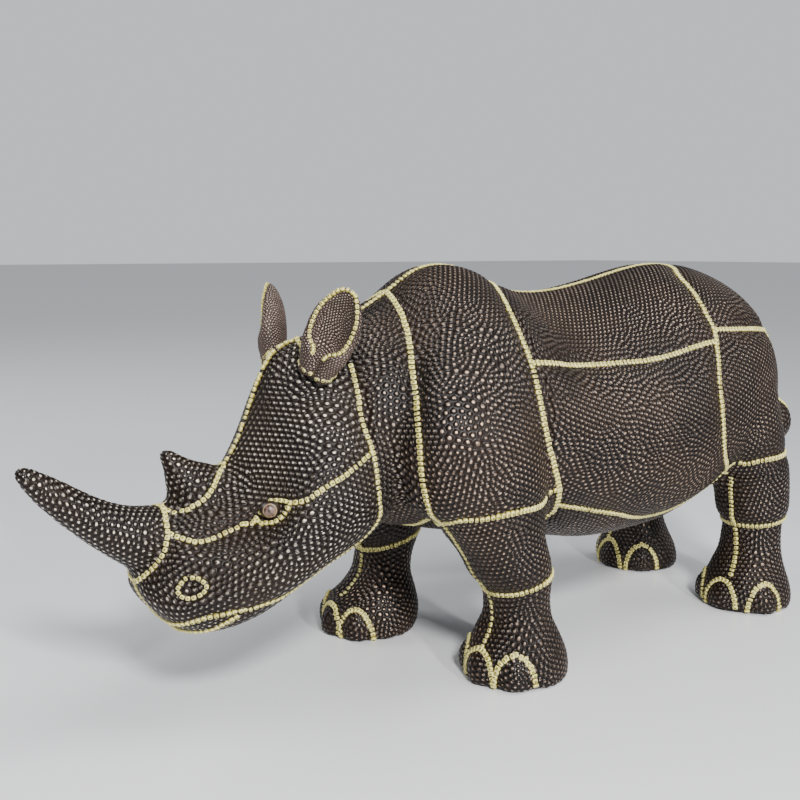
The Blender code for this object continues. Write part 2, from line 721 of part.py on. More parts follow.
def mended(obj):
    """Cuts out the few spots where thinning pinched or folded the skin, and closes them again."""
    bm = bmesh.new()
    bm.from_mesh(obj.data)
    for _ in range(8):
        bmesh.ops.remove_doubles(bm, verts=bm.verts, dist=0.02 * UNIT)
        pinched = {v for e in bm.edges if not e.is_manifold or e.calc_face_angle() > 3.0 for v in e.verts}
        pinched |= {v for v in bm.verts if not v.is_manifold}
        if not pinched:
            break
        spoiled = {f for v in pinched for f in v.link_faces}
        bmesh.ops.delete(bm, geom=list(spoiled), context="FACES")
        bmesh.ops.delete(bm, geom=[v for v in bm.verts if not v.link_faces], context="VERTS")
        filled = bmesh.ops.holes_fill(bm, edges=[e for e in bm.edges if e.is_boundary], sides=0)
        bmesh.ops.triangulate(bm, faces=filled["faces"])
    bmesh.ops.recalc_face_normals(bm, faces=bm.faces)
    bm.to_mesh(obj.data)
    bm.free()


def level_soles(obj):
    """Puts the soles back on one level after thinning, each as one flat face."""
    bm = bmesh.new()
    bm.from_mesh(obj.data)
    for vert in bm.verts:
        if vert.co.z < 0.2 * UNIT:
            vert.co.z = 0
    soles = [f for f in bm.faces if all(v.co.z == 0 for v in f.verts)]
    bmesh.ops.dissolve_faces(bm, faces=soles)
    bm.to_mesh(obj.data)
    bm.free()


def painted(obj):
    hide = bpy.data.materials.new("bronzed resin")
    hide.use_nodes = True
    shader = hide.node_tree.nodes["Principled BSDF"]
    shader.inputs["Base Color"].default_value = (0.045, 0.03, 0.022, 1)
    shader.inputs["Metallic"].default_value = 0.35
    shader.inputs["Roughness"].default_value = 0.42
    hide.diffuse_color = (0.045, 0.03, 0.022, 1)
    obj.data.materials.clear()
    obj.data.materials.append(hide)


def main():
    for old in list(bpy.data.objects):
        bpy.data.objects.remove(old)
    figure = build_form()
    tree = BVHTree.FromObject(figure, bpy.context.evaluated_depsgraph_get())
    fold_hide(figure, tree)
    tree = BVHTree.FromObject(figure, bpy.context.evaluated_depsgraph_get())
    thinned(figure, FORM_TRIANGLES)
    for width, path in seam_paths():
        combined(figure, build_ridge(tree, path, SEAM_STEP, width), "UNION")
    combined(figure, ground_block(), "DIFFERENCE")
    keep_body(figure)
    thinned(figure, SOLID_TRIANGLES)
    mended(figure)
    level_soles(figure)
    painted(figure)
    figure.name = figure.data.name = "rhinoceros"
    collection = bpy.data.collections.new("rhinoceros_figurine")
    bpy.context.scene.collection.children.link(collection)
    bpy.context.scene.collection.objects.unlink(figure)
    collection.objects.link(figure)


main()
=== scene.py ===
# Rhinoceros figurine: the looks of the casting. The solid gives the outline and the raised seams;
# here the same form gets its cast pebbles, its beaded seams, its eyes and its paint, with painted highlight
# and painted shade on the pebbles and beads.
import math
import random

import bmesh
import bpy
from mathutils import Euler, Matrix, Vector, noise
from mathutils.bvhtree import BVHTree
from mathutils.kdtree import KDTree


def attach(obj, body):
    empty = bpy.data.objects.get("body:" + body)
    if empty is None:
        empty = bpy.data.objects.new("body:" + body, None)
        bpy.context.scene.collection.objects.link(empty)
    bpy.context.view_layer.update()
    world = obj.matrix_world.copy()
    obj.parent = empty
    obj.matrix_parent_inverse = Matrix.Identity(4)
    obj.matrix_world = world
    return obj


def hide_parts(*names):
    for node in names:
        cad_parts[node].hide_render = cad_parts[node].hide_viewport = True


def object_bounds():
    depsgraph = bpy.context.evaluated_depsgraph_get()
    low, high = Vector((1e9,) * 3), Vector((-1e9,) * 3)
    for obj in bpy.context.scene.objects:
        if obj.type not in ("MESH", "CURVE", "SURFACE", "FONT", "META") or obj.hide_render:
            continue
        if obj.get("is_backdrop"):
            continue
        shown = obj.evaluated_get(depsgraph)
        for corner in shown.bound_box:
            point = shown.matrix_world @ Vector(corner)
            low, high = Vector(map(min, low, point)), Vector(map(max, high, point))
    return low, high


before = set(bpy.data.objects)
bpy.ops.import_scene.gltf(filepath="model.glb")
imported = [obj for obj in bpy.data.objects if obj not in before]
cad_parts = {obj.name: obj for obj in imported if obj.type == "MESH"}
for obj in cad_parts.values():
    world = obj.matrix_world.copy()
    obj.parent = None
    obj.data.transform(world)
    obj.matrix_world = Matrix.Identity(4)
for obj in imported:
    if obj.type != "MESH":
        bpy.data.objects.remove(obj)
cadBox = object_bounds()
print("stage 1: frame loaded")

# All forms are in the carver's millimetres, with X towards the tail and middleX at the figure's middle.
carving = {
    "unit": 0.001,
    "middleX": -16.0,
    "stepsBetween": 4,
    "torsoPoints": 48,
    "limbPoints": 32,
    "grain": 1.5,
    "smoothing": 0.5,
    "softening": 6,
    "foldDepth": 1.2,
    "foldWidth": 4.2,
    "markStep": 1.5,      # between the marks along a seam
    "hollowStep": 1.0,
    "slopeReach": 2.5,    # a bead stands on the mean slope this far round it
    "curveSteps": 8,
}


def toFrame(point):
    return Vector((point[0] - carving["middleX"], point[1], point[2])) * carving["unit"]


def signedPower(value, power):
    return math.copysign(abs(value) ** power, value)


def fullTurn(count):
    return [2 * math.pi * i / count for i in range(count)]


def between(stations, steps):
    # the stations with rings added between them on one smooth curve
    rows = []
    last = len(stations) - 1
    for i in range(last):
        near = [stations[max(0, min(last, i + k))] for k in (-1, 0, 1, 2)]
        for step in range(steps):
            t = step / steps
            weights = ((-t + 2 * t * t - t**3) / 2, (2 - 5 * t * t + 3 * t**3) / 2,
                       (t + 4 * t * t - 3 * t**3) / 2, (-t * t + t**3) / 2)
            rows.append(tuple(sum(w * v for w, v in zip(weights, column)) for column in zip(*near)))
    rows.append(tuple(stations[-1]))
    return rows


def addRing(bm, points):
    made = bmesh.ops.create_circle(bm, segments=len(points), radius=1)["verts"]
    for vert, point in zip(made, points):
        vert.co = toFrame(point)
    return list({edge for vert in made for edge in vert.link_edges})


def loft(bm, rings):
    loops = [addRing(bm, points) for points in rings]
    for first, second in zip(loops, loops[1:]):
        bmesh.ops.bridge_loops(bm, edges=first + second)
    bmesh.ops.edgeloop_fill(bm, edges=loops[0])
    bmesh.ops.edgeloop_fill(bm, edges=loops[-1])


def uprightRing(upperX, upperZ, lowerX, lowerZ, halfWidth, narrowing, squareness, count, above=None):
    middleX, middleZ = (upperX + lowerX) / 2, (upperZ + lowerZ) / 2
    halfX, halfZ = (upperX - lowerX) / 2, (upperZ - lowerZ) / 2
    points = []
    for angle in fullTurn(count):
        power = 2 / (above if above and angle < math.pi else squareness)
        rise = signedPower(math.sin(angle), power)
        across = signedPower(math.cos(angle), power) * (1 - narrowing * rise)
        points.append(Vector((middleX + halfX * rise, halfWidth * across, middleZ + halfZ * rise)))
    return points


def ellipsoid(bm, place, radii):
    made = bmesh.ops.create_uvsphere(bm, u_segments=24, v_segments=14, radius=1)["verts"]
    for vert in made:
        vert.co = toFrame([middle + share * radius for middle, share, radius in zip(place, vert.co, radii)])


def objectOf(name, bm):
    bmesh.ops.recalc_face_normals(bm, faces=bm.faces)
    mesh = bpy.data.meshes.new(name)
    bm.to_mesh(mesh)
    bm.free()
    made = bpy.data.objects.new(name, mesh)
    bpy.context.scene.collection.objects.link(made)
    return made


def settle(obj):
    # the modifiers become part of the mesh
    bpy.context.view_layer.update()
    mesh = bpy.data.meshes.new_from_object(obj.evaluated_get(bpy.context.evaluated_depsgraph_get()))
    obj.modifiers.clear()
    obj.data = mesh


def addModifier(obj, kind, **settings):
    made = obj.modifiers.new(kind.lower(), kind)
    for name, value in settings.items():
        setattr(made, name, value)
    return made


# Body: x, top, bottom, half width, squareness above (a ridge under 2)
torso = {
    "narrowing": 0.03,
    "squareness": 2.25,
    "stations": [
        (-98, 126, 90, 20, 1.8), (-88, 137, 76, 29, 1.75), (-76, 145.5, 66.5, 35.5, 1.7),
        (-66, 151, 61.5, 39.5, 1.65), (-57, 156.5, 59, 43.5, 1.62), (-47, 162.5, 57, 49, 1.62),
        (-36, 165, 54.5, 53.5, 1.62), (-24, 163.5, 52, 56.5, 1.62), (-12, 158.7, 51.2, 58, 1.6),
        (0, 154, 48.2, 58, 1.58), (14, 152.6, 45, 58.5, 1.58), (30, 153.5, 42, 60, 1.6),
        (50, 157, 42, 60.5, 1.62), (68, 161, 43, 60, 1.66), (84, 163.7, 47, 59, 1.72),
        (100, 163.8, 53, 57, 1.82), (115, 160.5, 58, 53, 1.95), (130, 153.5, 62.5, 46.5, 2.05),
        (144, 142.5, 68, 37, 2.1), (155, 129.5, 77, 27, 2.1), (162, 116, 87, 17.5, 2.1),
        (165, 106, 95, 8.5, 2.1),
    ],
}


def buildTorso(bm):
    rings = []
    for x, top, bottom, half, above in between(torso["stations"], carving["stepsBetween"]):
        rings.append(uprightRing(x, top, x, bottom, half, torso["narrowing"], torso["squareness"],
                                 carving["torsoPoints"], above))
    loft(bm, rings)


# Head and horns: brow x, z, jaw x, z, half width, squareness above
head = {
    "skull": [
        (-82, 140, -70, 69, 31, 1.9), (-91.5, 139.5, -78, 61, 34.5, 1.55),
        (-102, 137.8, -87, 55.3, 35.8, 1.3), (-110.5, 134, -98, 50.8, 36.5, 1.12),
        (-117, 124.5, -108, 46, 36, 1.05), (-122.5, 110.5, -118, 41.3, 34.5, 1.03),
        (-129.5, 96, -128, 37.2, 32, 1.15), (-139, 86.5, -138, 34.3, 28.5, 1.5),
        (-149.5, 81.5, -146.3, 33.2, 25, 1.95), (-157.5, 76.5, -152.5, 34.3, 21.5, 2.3),
        (-162.5, 70, -157, 37.5, 17.5, 2.4), (-166, 62, -161, 43.5, 12.5, 2.4),
        (-167.8, 57, -165, 49, 6.5, 2.4),
    ],
    "frontHorn": [
        (-148, 80, -157, 53, 12), (-156, 81.3, -166, 58.6, 12), (-164, 81, -173.5, 64, 10.6),
        (-174, 84.3, -182.8, 71.8, 8.6), (-184, 90.2, -190.9, 79.4, 7), (-191.5, 95, -197.2, 86.2, 5.7),
        (-198.5, 99, -202.2, 92.8, 4), (-203, 100.6, -205, 97, 2.2),
    ],
    "rearHorn": [
        (-156, 74, -126, 86, 11), (-152.8, 81, -131, 92, 9.5), (-152.7, 87.5, -141, 94.5, 6.2),
        (-154, 94, -147.5, 98, 3.6), (-155.8, 99.8, -152.3, 101.3, 1.8),
    ],
    # narrowing upwards, squareness
    "shapes": {"skull": (0.2, 2.4), "frontHorn": (0, 2), "rearHorn": (0, 2)},
}


def buildHead(bm):
    for name, (narrowing, squareness) in head["shapes"].items():
        loft(bm, [uprightRing(*row[:5], narrowing, squareness, carving["limbPoints"], *row[5:])
                  for row in between(head[name], carving["stepsBetween"])])


# Legs: z, x, distance from the middle, radius along x, radius across
foreleg = {
    "stations": [
        (-4, -22.5, 38.5, 20.5, 20.5), (3, -22.3, 38.5, 21.8, 21.2), (10, -22.6, 38.5, 21, 20.6),
        (18, -22.3, 39, 16.8, 17.2), (25, -22.4, 39.5, 13.2, 14.2), (33, -23.4, 40, 13.2, 13.8),
        (38, -24.5, 40, 14.6, 15), (43, -26, 40, 17.4, 17), (52, -30, 39.5, 18.2, 17.2),
        (60, -34, 39, 20.5, 17.8), (68, -37.5, 38.5, 24.5, 19.5), (74, -41, 38, 29.5, 22),
        (86, -43, 37, 32, 23.5), (104, -43, 36, 33, 22.5), (124, -40, 31, 28, 17.5), (140, -38, 24, 19, 9),
    ],
    "toes": (-42, 2, 50),             # degrees outwards from straight ahead
    "farStride": 22.5,                # the far forefoot is one short step ahead
    "rings": [(36.2, -180, 180, 8)],  # height, first and last angle, rise towards the back
}
hindLeg = {
    "stations": [
        (-4, 126, 37, 20, 20), (3, 126, 37, 22.3, 21.3), (10, 126, 37, 21.3, 20.3),
        (18, 126.5, 37.5, 17.6, 17), (26, 127.3, 38, 14.4, 14.4), (35, 127.7, 38, 13.4, 13.8),
        (40, 127.8, 38, 14.2, 14.4), (44, 127.8, 38, 16.8, 16.4), (54, 126.6, 38, 17, 17.2),
        (64, 124.3, 37.8, 17.6, 18.4), (74, 120, 37, 20.5, 19.8), (90, 112.5, 34.5, 24, 22.5),
        (108, 107, 32, 27, 23), (126, 104, 29, 25, 20), (140, 102, 26, 18, 12),
    ],
    "toes": (-52, 4, 66),
    "farStride": -4,
    "rings": [(40, -180, 180, 3)],
}
foot = {
    "widest": 1,          # the station whose middle carries the toes
    "toeReach": 13.5,
    "toeRadius": 9.6,
    "toeHeight": 5,
    "toeRise": 1.25,
    "strideTop": 70,
    "arcOut": 7,          # the seam over a toe stands this far before the toe's middle
    "arcWidth": 9.2,
    "arcHeight": 16.5,
    "arcSink": 1,
    "arcSteps": 8,
    "ringStep": 15,       # degrees
}


def strideAt(z, leg, side):
    stride = leg["farStride"] if side > 0 else 0
    return stride * max(0.0, 1 - z / foot["strideTop"])


def toePlace(leg, degrees, side, reach, lateral=0.0):
    out = math.radians(degrees)
    _, x, y, _, _ = leg["stations"][foot["widest"]]
    x += -strideAt(0, leg, side) - reach * math.cos(out) + lateral * math.sin(out)
    y += reach * math.sin(out) + lateral * math.cos(out)
    return x, side * y


def buildLeg(bm, leg, side):
    rings = []
    for z, x, y, radiusX, radiusY in between(leg["stations"], carving["stepsBetween"]):
        middleX = x - strideAt(z, leg, side)
        rings.append([(middleX + radiusX * math.cos(a), side * y + radiusY * math.sin(a), z)
                      for a in fullTurn(carving["limbPoints"])])
    loft(bm, rings)
    radius = foot["toeRadius"]
    for degrees in leg["toes"]:
        x, y = toePlace(leg, degrees, side, foot["toeReach"])
        ellipsoid(bm, (x, y, foot["toeHeight"]), (radius, radius, radius * foot["toeRise"]))


# Ears, from root to tip: share of the height, half width, wall, half angle of the shell
ear = {
    "stations": [
        (-0.14, 6.8, 6.4, 165), (0, 7.6, 7.2, 165), (0.12, 8.7, 8.1, 160), (0.22, 9.4, 5.2, 152),
        (0.32, 9.8, 3.8, 120), (0.44, 10, 3.4, 110), (0.58, 9.8, 3.2, 105), (0.72, 8.9, 3.1, 100),
        (0.85, 7, 3, 95), (0.95, 4.9, 2.8, 90), (1, 3, 2.4, 85),
    ],
    "lip": (0.19, 9, 0, 0),
    "lipInset": 0.6,
    "opensAt": 6,       # of the rings with one added between each two, where the shell opens
    "root": (-101, 18, 128),
    "tip": (-95.5, 31.5, 155.8),
    "facing": 38,       # degrees outwards from straight ahead
    "flatness": 0.62,
    "leastDepth": 0.06,
    "grain": 0.9,
    "softening": 3,
    "relief": 0.55,
}


def earPoint(side, row, angle, inset):
    root = Vector((ear["root"][0], side * ear["root"][1], ear["root"][2]))
    tip = Vector((ear["tip"][0], side * ear["tip"][1], ear["tip"][2]))
    up = (tip - root).normalized()
    facing = math.radians(ear["facing"])
    front = Vector((-math.cos(facing), side * math.sin(facing), 0))
    front = (front - up * front.dot(up)).normalized()
    depth = max(row[1] * ear["flatness"] - inset, row[1] * ear["leastDepth"])
    out = up.cross(front) * (row[1] - inset) * math.sin(angle)
    return root.lerp(tip, row[0]) - front * depth * math.cos(angle) + out


def buildEar(bm, side):
    rings = []
    halfCount = carving["limbPoints"] // 2
    for row in between(ear["stations"], carving["stepsBetween"]):
        opening = math.radians(row[3])
        turn = [opening * (2 * i / (halfCount - 1) - 1) for i in range(halfCount)]
        outside = [earPoint(side, row, a, 0) for a in turn]
        rings.append(outside + [earPoint(side, row, -a, row[2]) for a in turn])
    loft(bm, rings)


# Tail: x, z, radius
tail = {
    "stations": [
        (148, 135, 5.0), (158, 125, 5.6), (165, 112, 5.4), (167.5, 99, 4.8),
        (165, 87, 4.4), (158.5, 77, 4.6), (151, 69.5, 4.6), (146, 65, 2.4),
    ],
}


def buildTail(bm):
    rows = between(tail["stations"], carving["stepsBetween"])
    rings = []
    for i, (x, z, radius) in enumerate(rows):
        before, after = rows[max(i - 1, 0)], rows[min(i + 1, len(rows) - 1)]
        along = Vector((after[0] - before[0], 0, after[1] - before[1])).normalized()
        out = Vector((-along.z, 0, along.x))
        rings.append([Vector((x, 0, z)) + (Vector((0, math.cos(a), 0)) + out * math.sin(a)) * radius
                      for a in fullTurn(carving["limbPoints"])])
    loft(bm, rings)


# The bump behind each upper hind leg
buttock = {"place": (139, 37.5, 88.5), "radii": (10, 9.5, 12)}


def rawForms(withEars):
    bm = bmesh.new()
    buildTorso(bm)
    buildHead(bm)
    buildTail(bm)
    for side in (-1, 1):
        buildLeg(bm, foreleg, side)
        buildLeg(bm, hindLeg, side)
        if withEars:
            buildEar(bm, side)
        x, y, z = buttock["place"]
        ellipsoid(bm, (x, side * y, z), buttock["radii"])
    return objectOf("raw forms", bm)


def fusedForm(raw, grain, softening):
    addModifier(raw, "REMESH", mode="VOXEL", voxel_size=grain * carving["unit"])
    addModifier(raw, "SMOOTH", factor=carving["smoothing"], iterations=softening)
    settle(raw)
    return raw


# Seams, as x, y, z with y the distance from the middle
sideSeams = {
    "neck": [
        (-60, 0, 154.5), (-62.1, 11.1, 149.7), (-63.5, 18.7, 143.6), (-65.4, 24.9, 136.5),
        (-67.9, 30.5, 127.8), (-71.3, 37.4, 115.8), (-74.2, 43.5, 102.2), (-73.4, 44.4, 87.5),
        (-71.1, 44.2, 77.8), (-61.7, 40.2, 67.8)
    ],
    "brisket": [
        (-61.7, 40.2, 67.8), (-58, 30, 64.5), (-56, 17, 61), (-55.5, 0, 59.2)
    ],
    "shoulder": [
        (-9, 0, 157.4), (-14, 12, 156), (-17.9, 20.5, 154), (-22.1, 31.8, 147.5), (-24.1, 40.3, 139.5),
        (-24.8, 47.2, 130.4), (-25.5, 52.2, 121.4), (-25.4, 55.8, 110.4), (-22.7, 56.5, 98.7),
        (-18.5, 55.7, 88.4), (-12, 52.5, 76.5)
    ],
    "shoulderHem": [
        (-61.7, 40.2, 67.8), (-60.7, 51.2, 71), (-55, 55.7, 71.5), (-48, 58.7, 72.7),
        (-36.6, 59.5, 73.4), (-22.4, 54.8, 73.4), (-12, 52.5, 76.5)
    ],
    "elbow": [
        (-12, 52.5, 76.5), (-9.1, 47.9, 68.4), (-8.6, 43, 62), (-13, 36, 57)
    ],
    "flank": [
        (-24.7, 48.8, 127.9), (-9.7, 47.7, 126.5), (9, 45.2, 124.7), (25.1, 46.1, 124.6),
        (40.9, 47.9, 125), (55.4, 48.6, 126.7), (67.7, 48.8, 129.1), (80.9, 49.3, 131)
    ],
    "belly": [
        (-9.1, 47.9, 68.4), (2.9, 48, 65.4), (14.7, 47.6, 62.3), (26.9, 47.2, 59.5),
        (44.8, 42.8, 54.3), (58, 41, 53), (72.5, 41, 55), (84.3, 41.8, 59.3), (91.5, 43, 64),
        (96.1, 46.7, 70.5)
    ],
    "rump": [
        (100, 0, 163.9), (96, 11, 162.3), (90.1, 20, 158.6), (87.3, 31.4, 151.2), (85, 40.4, 142.7),
        (83.8, 46.7, 135.1), (80.1, 51.7, 126.9), (74.8, 58.5, 110.5), (77.4, 59, 92.9),
        (83.6, 55.4, 80.5), (96.1, 46.7, 70.5), (107, 39.5, 60.4), (110.3, 38.6, 50),
        (113.2, 38.6, 38), (111.8, 40.9, 24.5), (109.1, 41.4, 17.3)
    ],
    "croup": [
        (84.5, 46.3, 135.8), (96.2, 47.2, 135.5), (107.7, 46.5, 135), (120, 43, 134),
        (132, 37.2, 132.8), (142, 27, 131.5), (149, 13, 131), (151.5, 6, 130.5)
    ],
    "thigh": [
        (132, 37.2, 132.8), (136, 39.5, 120), (138, 41, 108), (140, 41.5, 100), (145.5, 41.5, 95),
        (148.5, 40, 88), (146, 38, 79.5)
    ],
    "hock": [
        (96.1, 46.7, 70.5), (105.3, 49.4, 72.2), (109.8, 54, 73.9), (117.3, 56.6, 74.9),
        (125.9, 55.7, 75.6), (134.5, 51, 76.5), (139.5, 43, 77.3), (140, 34, 77.5), (135.5, 24, 77.5)
    ],
    "cheek": [
        (-87.2, 17.9, 128.9), (-87.9, 22.6, 122.8), (-88.6, 26.5, 115.9), (-89.3, 30.2, 109.1),
        (-88.6, 33.8, 102.2), (-87.4, 35.3, 96.8), (-86.3, 36.2, 87.6), (-85, 35.5, 80),
        (-82.6, 32, 71.5), (-84.5, 28.5, 64.5), (-90, 27, 60), (-97.3, 26.5, 56.6), (-106.4, 26.5, 52),
        (-117, 27.5, 47.8), (-129.8, 29, 46.4), (-136.4, 27.6, 44.7)
    ],
    "upperLip": [
        (-136.4, 27.6, 44.7), (-142.3, 26.5, 44.9), (-149.5, 23.4, 44), (-154.8, 18.4, 41.4),
        (-158, 10, 39.8), (-159, 0, 39.6)
    ],
    "lowerLip": [
        (-136.4, 27.6, 44.7), (-141.2, 23.7, 40.5), (-145.1, 18.7, 37.1), (-149.5, 14.1, 35.5),
        (-153.3, 8.5, 35), (-154.5, 0, 34.6)
    ],
    "browBack": [
        (-87.2, 35, 98.5), (-93.4, 36, 94.7), (-100.9, 36.7, 90.7), (-106.6, 36.6, 88.5),
        (-111.7, 35.7, 86.1), (-115.7, 33.5, 83.7), (-119.4, 29.3, 82.5)
    ],
    "browFront": [
        (-131.6, 24.4, 78.5), (-132.6, 23.6, 77.4), (-133.4, 20.8, 75.5), (-135.8, 20.2, 74),
        (-139.5, 19.5, 72.7), (-144.3, 19.2, 71.3), (-149, 18.1, 70.7), (-153.2, 15.2, 71.8),
        (-157.1, 11.4, 73.6)
    ],
    "poll": [
        (-106, 16, 130.5), (-104.5, 13, 133.4), (-101.5, 7, 136.5), (-100.5, 0, 138)
    ],
}
middleSeams = {
    "spine": [
        (-80, 0, 141.5), (-75.3, 0, 143.8), (-69.3, 0, 148.7), (-60, 0, 154.5), (-50.3, 0, 160.9),
        (-43, 0, 164), (-32.9, 0, 164.3), (-22.6, 0, 162.6), (-9, 0, 157.4), (-0.9, 0, 153.8),
        (10.4, 0, 153.2), (24.9, 0, 153.8), (43, 0, 156.1), (58.7, 0, 159), (74.9, 0, 162.1),
        (91.8, 0, 163.8), (100, 0, 163.9)
    ],
    "forehead": [
        (-131.3, 0, 94.6), (-127.6, 0, 101), (-123.8, 0, 108.1), (-120.4, 0, 116.7), (-118.2, 0, 124),
        (-114.7, 0, 130.5), (-111.2, 0, 134.7), (-107.5, 0, 136.6), (-103.7, 0, 137.7),
        (-100.5, 0, 138)
    ],
    "muzzle": [
        (-168, 0, 54), (-166.8, 0, 50.5), (-164.3, 0, 47.5), (-161.2, 0, 43.2), (-159, 0, 39.6)
    ],
}
shinSeam = [
    (-61.7, 40.2, 67.8), (-56.1, 39, 62), (-49, 36.5, 53.5), (-43.5, 36.5, 45.6), (-39.5, 38, 38.6),
    (-37, 38.5, 32), (-36.2, 38.5, 26.5), (-38, 39.5, 21.5), (-41.3, 39.7, 15.7)
]
# Rings on one side, and half rings that both sides share
ringSeams = {
    "eye": [
        (-131.6, 24.4, 78.5), (-130.4, 24.4, 80.5), (-128.2, 24.5, 82.1), (-125.3, 23.9, 82.9),
        (-122.3, 25, 83.2), (-119.4, 29.3, 82.5), (-120.7, 29.6, 80.1), (-122.1, 29.1, 77.7),
        (-124.2, 27.8, 76), (-126.7, 25.9, 75.5), (-129.2, 24.6, 76.4)
    ],
    "nostril": [
        (-157.9, 19.1, 54.8), (-156.7, 19.9, 56.9), (-154.6, 21.1, 58.6), (-152, 22.5, 58.7),
        (-150, 23.8, 57.5), (-149.1, 24.6, 55.5), (-150.3, 24.2, 54), (-152.4, 23.2, 52.9),
        (-155, 21.6, 52.3), (-156.9, 20.1, 52.7)
    ],
    "ear": [
        (-107, 12, 130.5), (-106.3, 17, 127.3), (-104.5, 20.5, 124.4), (-101, 23.5, 122.6),
        (-97, 25.5, 121.8), (-94.5, 24.5, 123), (-94, 20, 126), (-95.5, 14.5, 130), (-100, 10.5, 133),
        (-104.5, 10, 132.5)
    ],
}
halfRings = {
    "frontHorn": [
        (-155, 0, 81.6), (-155.4, 2.9, 81.1), (-156.4, 8.9, 77.2), (-157.1, 11.4, 73.6),
        (-158.9, 12.9, 69.6), (-160.9, 13, 65.4), (-163.8, 10.7, 61), (-166.1, 7, 57.6), (-168, 0, 54)
    ],
    "rearHorn": [
        (-156, 0, 81.2), (-153.9, 5.6, 80), (-150.5, 8.1, 79.7), (-146.3, 9.7, 81.3),
        (-141.9, 10.1, 83.6), (-138.8, 9.4, 86.7), (-135.7, 7, 90.2), (-131.3, 0, 93.4)
    ],
}
# The mouth and a nostril, hollows in the hide
hollows = {
    "mouth": {"depth": 1.6, "width": 1.9, "points": [
        (-137, 27, 44), (-142, 24.5, 42.4), (-147, 21.5, 40.2), (-151.5, 16.5, 38.4), (-155, 10, 37.4),
        (-156.8, 0, 37)
    ]},
    "nostril": {"depth": 2.6, "width": 2.6, "points": [(-153.6, 22, 55.7)]},
}


def onSide(line, side):
    return [Vector((x, side * y, z)) for x, y, z in line]


def stationAt(leg, z):
    rows = between(leg["stations"], carving["stepsBetween"])
    for low, high in zip(rows, rows[1:]):
        if low[0] <= z <= high[0]:
            share = (z - low[0]) / (high[0] - low[0])
            return [a + (b - a) * share for a, b in zip(low, high)]
    return rows[-1]


def legPoint(leg, z, degrees, side):
    _, x, y, radiusX, radiusY = stationAt(leg, z)
    out = math.radians(degrees)
    x -= strideAt(z, leg, side) + radiusX * math.cos(out)
    return Vector((x, side * (y + radiusY * math.sin(out)), z))


def legSeams(leg, side):
    seams = []
    for z, first, last, rise in leg["rings"]:
        count = round(abs(last - first) / foot["ringStep"])
        turn = [first + (last - first) * i / count for i in range(count + 1)]
        seams.append([legPoint(leg, z + rise * (1 - math.cos(math.radians(a))) / 2, a, side) for a in turn])
    for toe in leg["toes"]:
        arc = []
        reach = foot["toeReach"] + foot["arcOut"]
        for i in range(foot["arcSteps"] + 1):
            angle = math.pi * i / foot["arcSteps"]
            x, y = toePlace(leg, toe, side, reach, foot["arcWidth"] * math.cos(angle))
            arc.append(Vector((x, y, foot["arcHeight"] * math.sin(angle) - foot["arcSink"])))
        seams.append(arc)
    return seams


def earRim(side):
    # down one rim of the opening, over the lip below it and up the other rim
    rows = between(ear["stations"], 2)[ear["opensAt"]:]
    down, up = ([earPoint(side, row, way * math.radians(row[3]), row[2] / 2) for row in rows]
                for way in (-1, 1))
    return down[::-1] + [earPoint(side, ear["lip"], math.pi, ear["lipInset"])] + up + down[-1:]


def seamPaths():
    # every seam but the ear rims, with the name of its beads; a ring ends where it starts
    onBody = ("spine", "neck", "brisket", "shoulder", "shoulderHem", "elbow", "flank", "belly", "rump",
              "croup", "thigh", "hock")
    ringBeads = {"eye": "lid", "nostril": "ring", "ear": "earFoot"}
    paths = [("body" if name in onBody else "head", onSide(line, 1)) for name, line in middleSeams.items()]
    for side in (-1, 1):
        for name, line in sideSeams.items():
            paths.append(("body" if name in onBody else "head", onSide(line, side)))
        for name, ring in ringSeams.items():
            paths.append((ringBeads[name], onSide(ring + ring[:1], side)))
        shin = [(x - strideAt(z, foreleg, side), y, z) for x, y, z in shinSeam]
        paths.append(("head", onSide(shin, side)))
        paths += [("body", line) for line in legSeams(foreleg, side) + legSeams(hindLeg, side)]
    for line in halfRings.values():
        paths.append(("head", onSide(line, -1) + onSide(line[-2::-1], 1)))
    return paths


def resample(points, step):
    fine = [Vector(row) for row in between([tuple(p) for p in points], carving["curveSteps"])]
    lengths = [0.0]
    for a, b in zip(fine, fine[1:]):
        lengths.append(lengths[-1] + (b - a).length)
    count = max(2, round(lengths[-1] / step))
    placed = []
    k = 0
    for i in range(count + 1):
        target = lengths[-1] * i / count
        while k < len(fine) - 2 and lengths[k + 1] < target:
            k += 1
        span = max(lengths[k + 1] - lengths[k], 1e-9)
        placed.append(fine[k].lerp(fine[k + 1], min(1.0, (target - lengths[k]) / span)))
    return placed


def nearSkin(tree, point):
    place, normal, _, _ = tree.find_nearest(point)
    for _, other, _, _ in tree.find_nearest_range(place, carving["slopeReach"] * carving["unit"]):
        normal = normal + other
    return place, normal.normalized()


def marksOn(tree, points):
    marks = [tree.find_nearest(toFrame(p))[0] for p in points]
    near = KDTree(len(marks))
    for i, place in enumerate(marks):
        near.insert(place, i)
    near.balance()
    return near


def dip(obj, marks, depth, width):
    # the hide sinks round about the marks
    normals = [n.vector.copy() for n in obj.data.vertex_normals]
    for vert, normal in zip(obj.data.vertices, normals):
        away = marks.find(vert.co)[2] / (width * carving["unit"])
        vert.co -= normal * depth * carving["unit"] * math.exp(-away ** 2)
        vert.co.z = max(vert.co.z, 0)


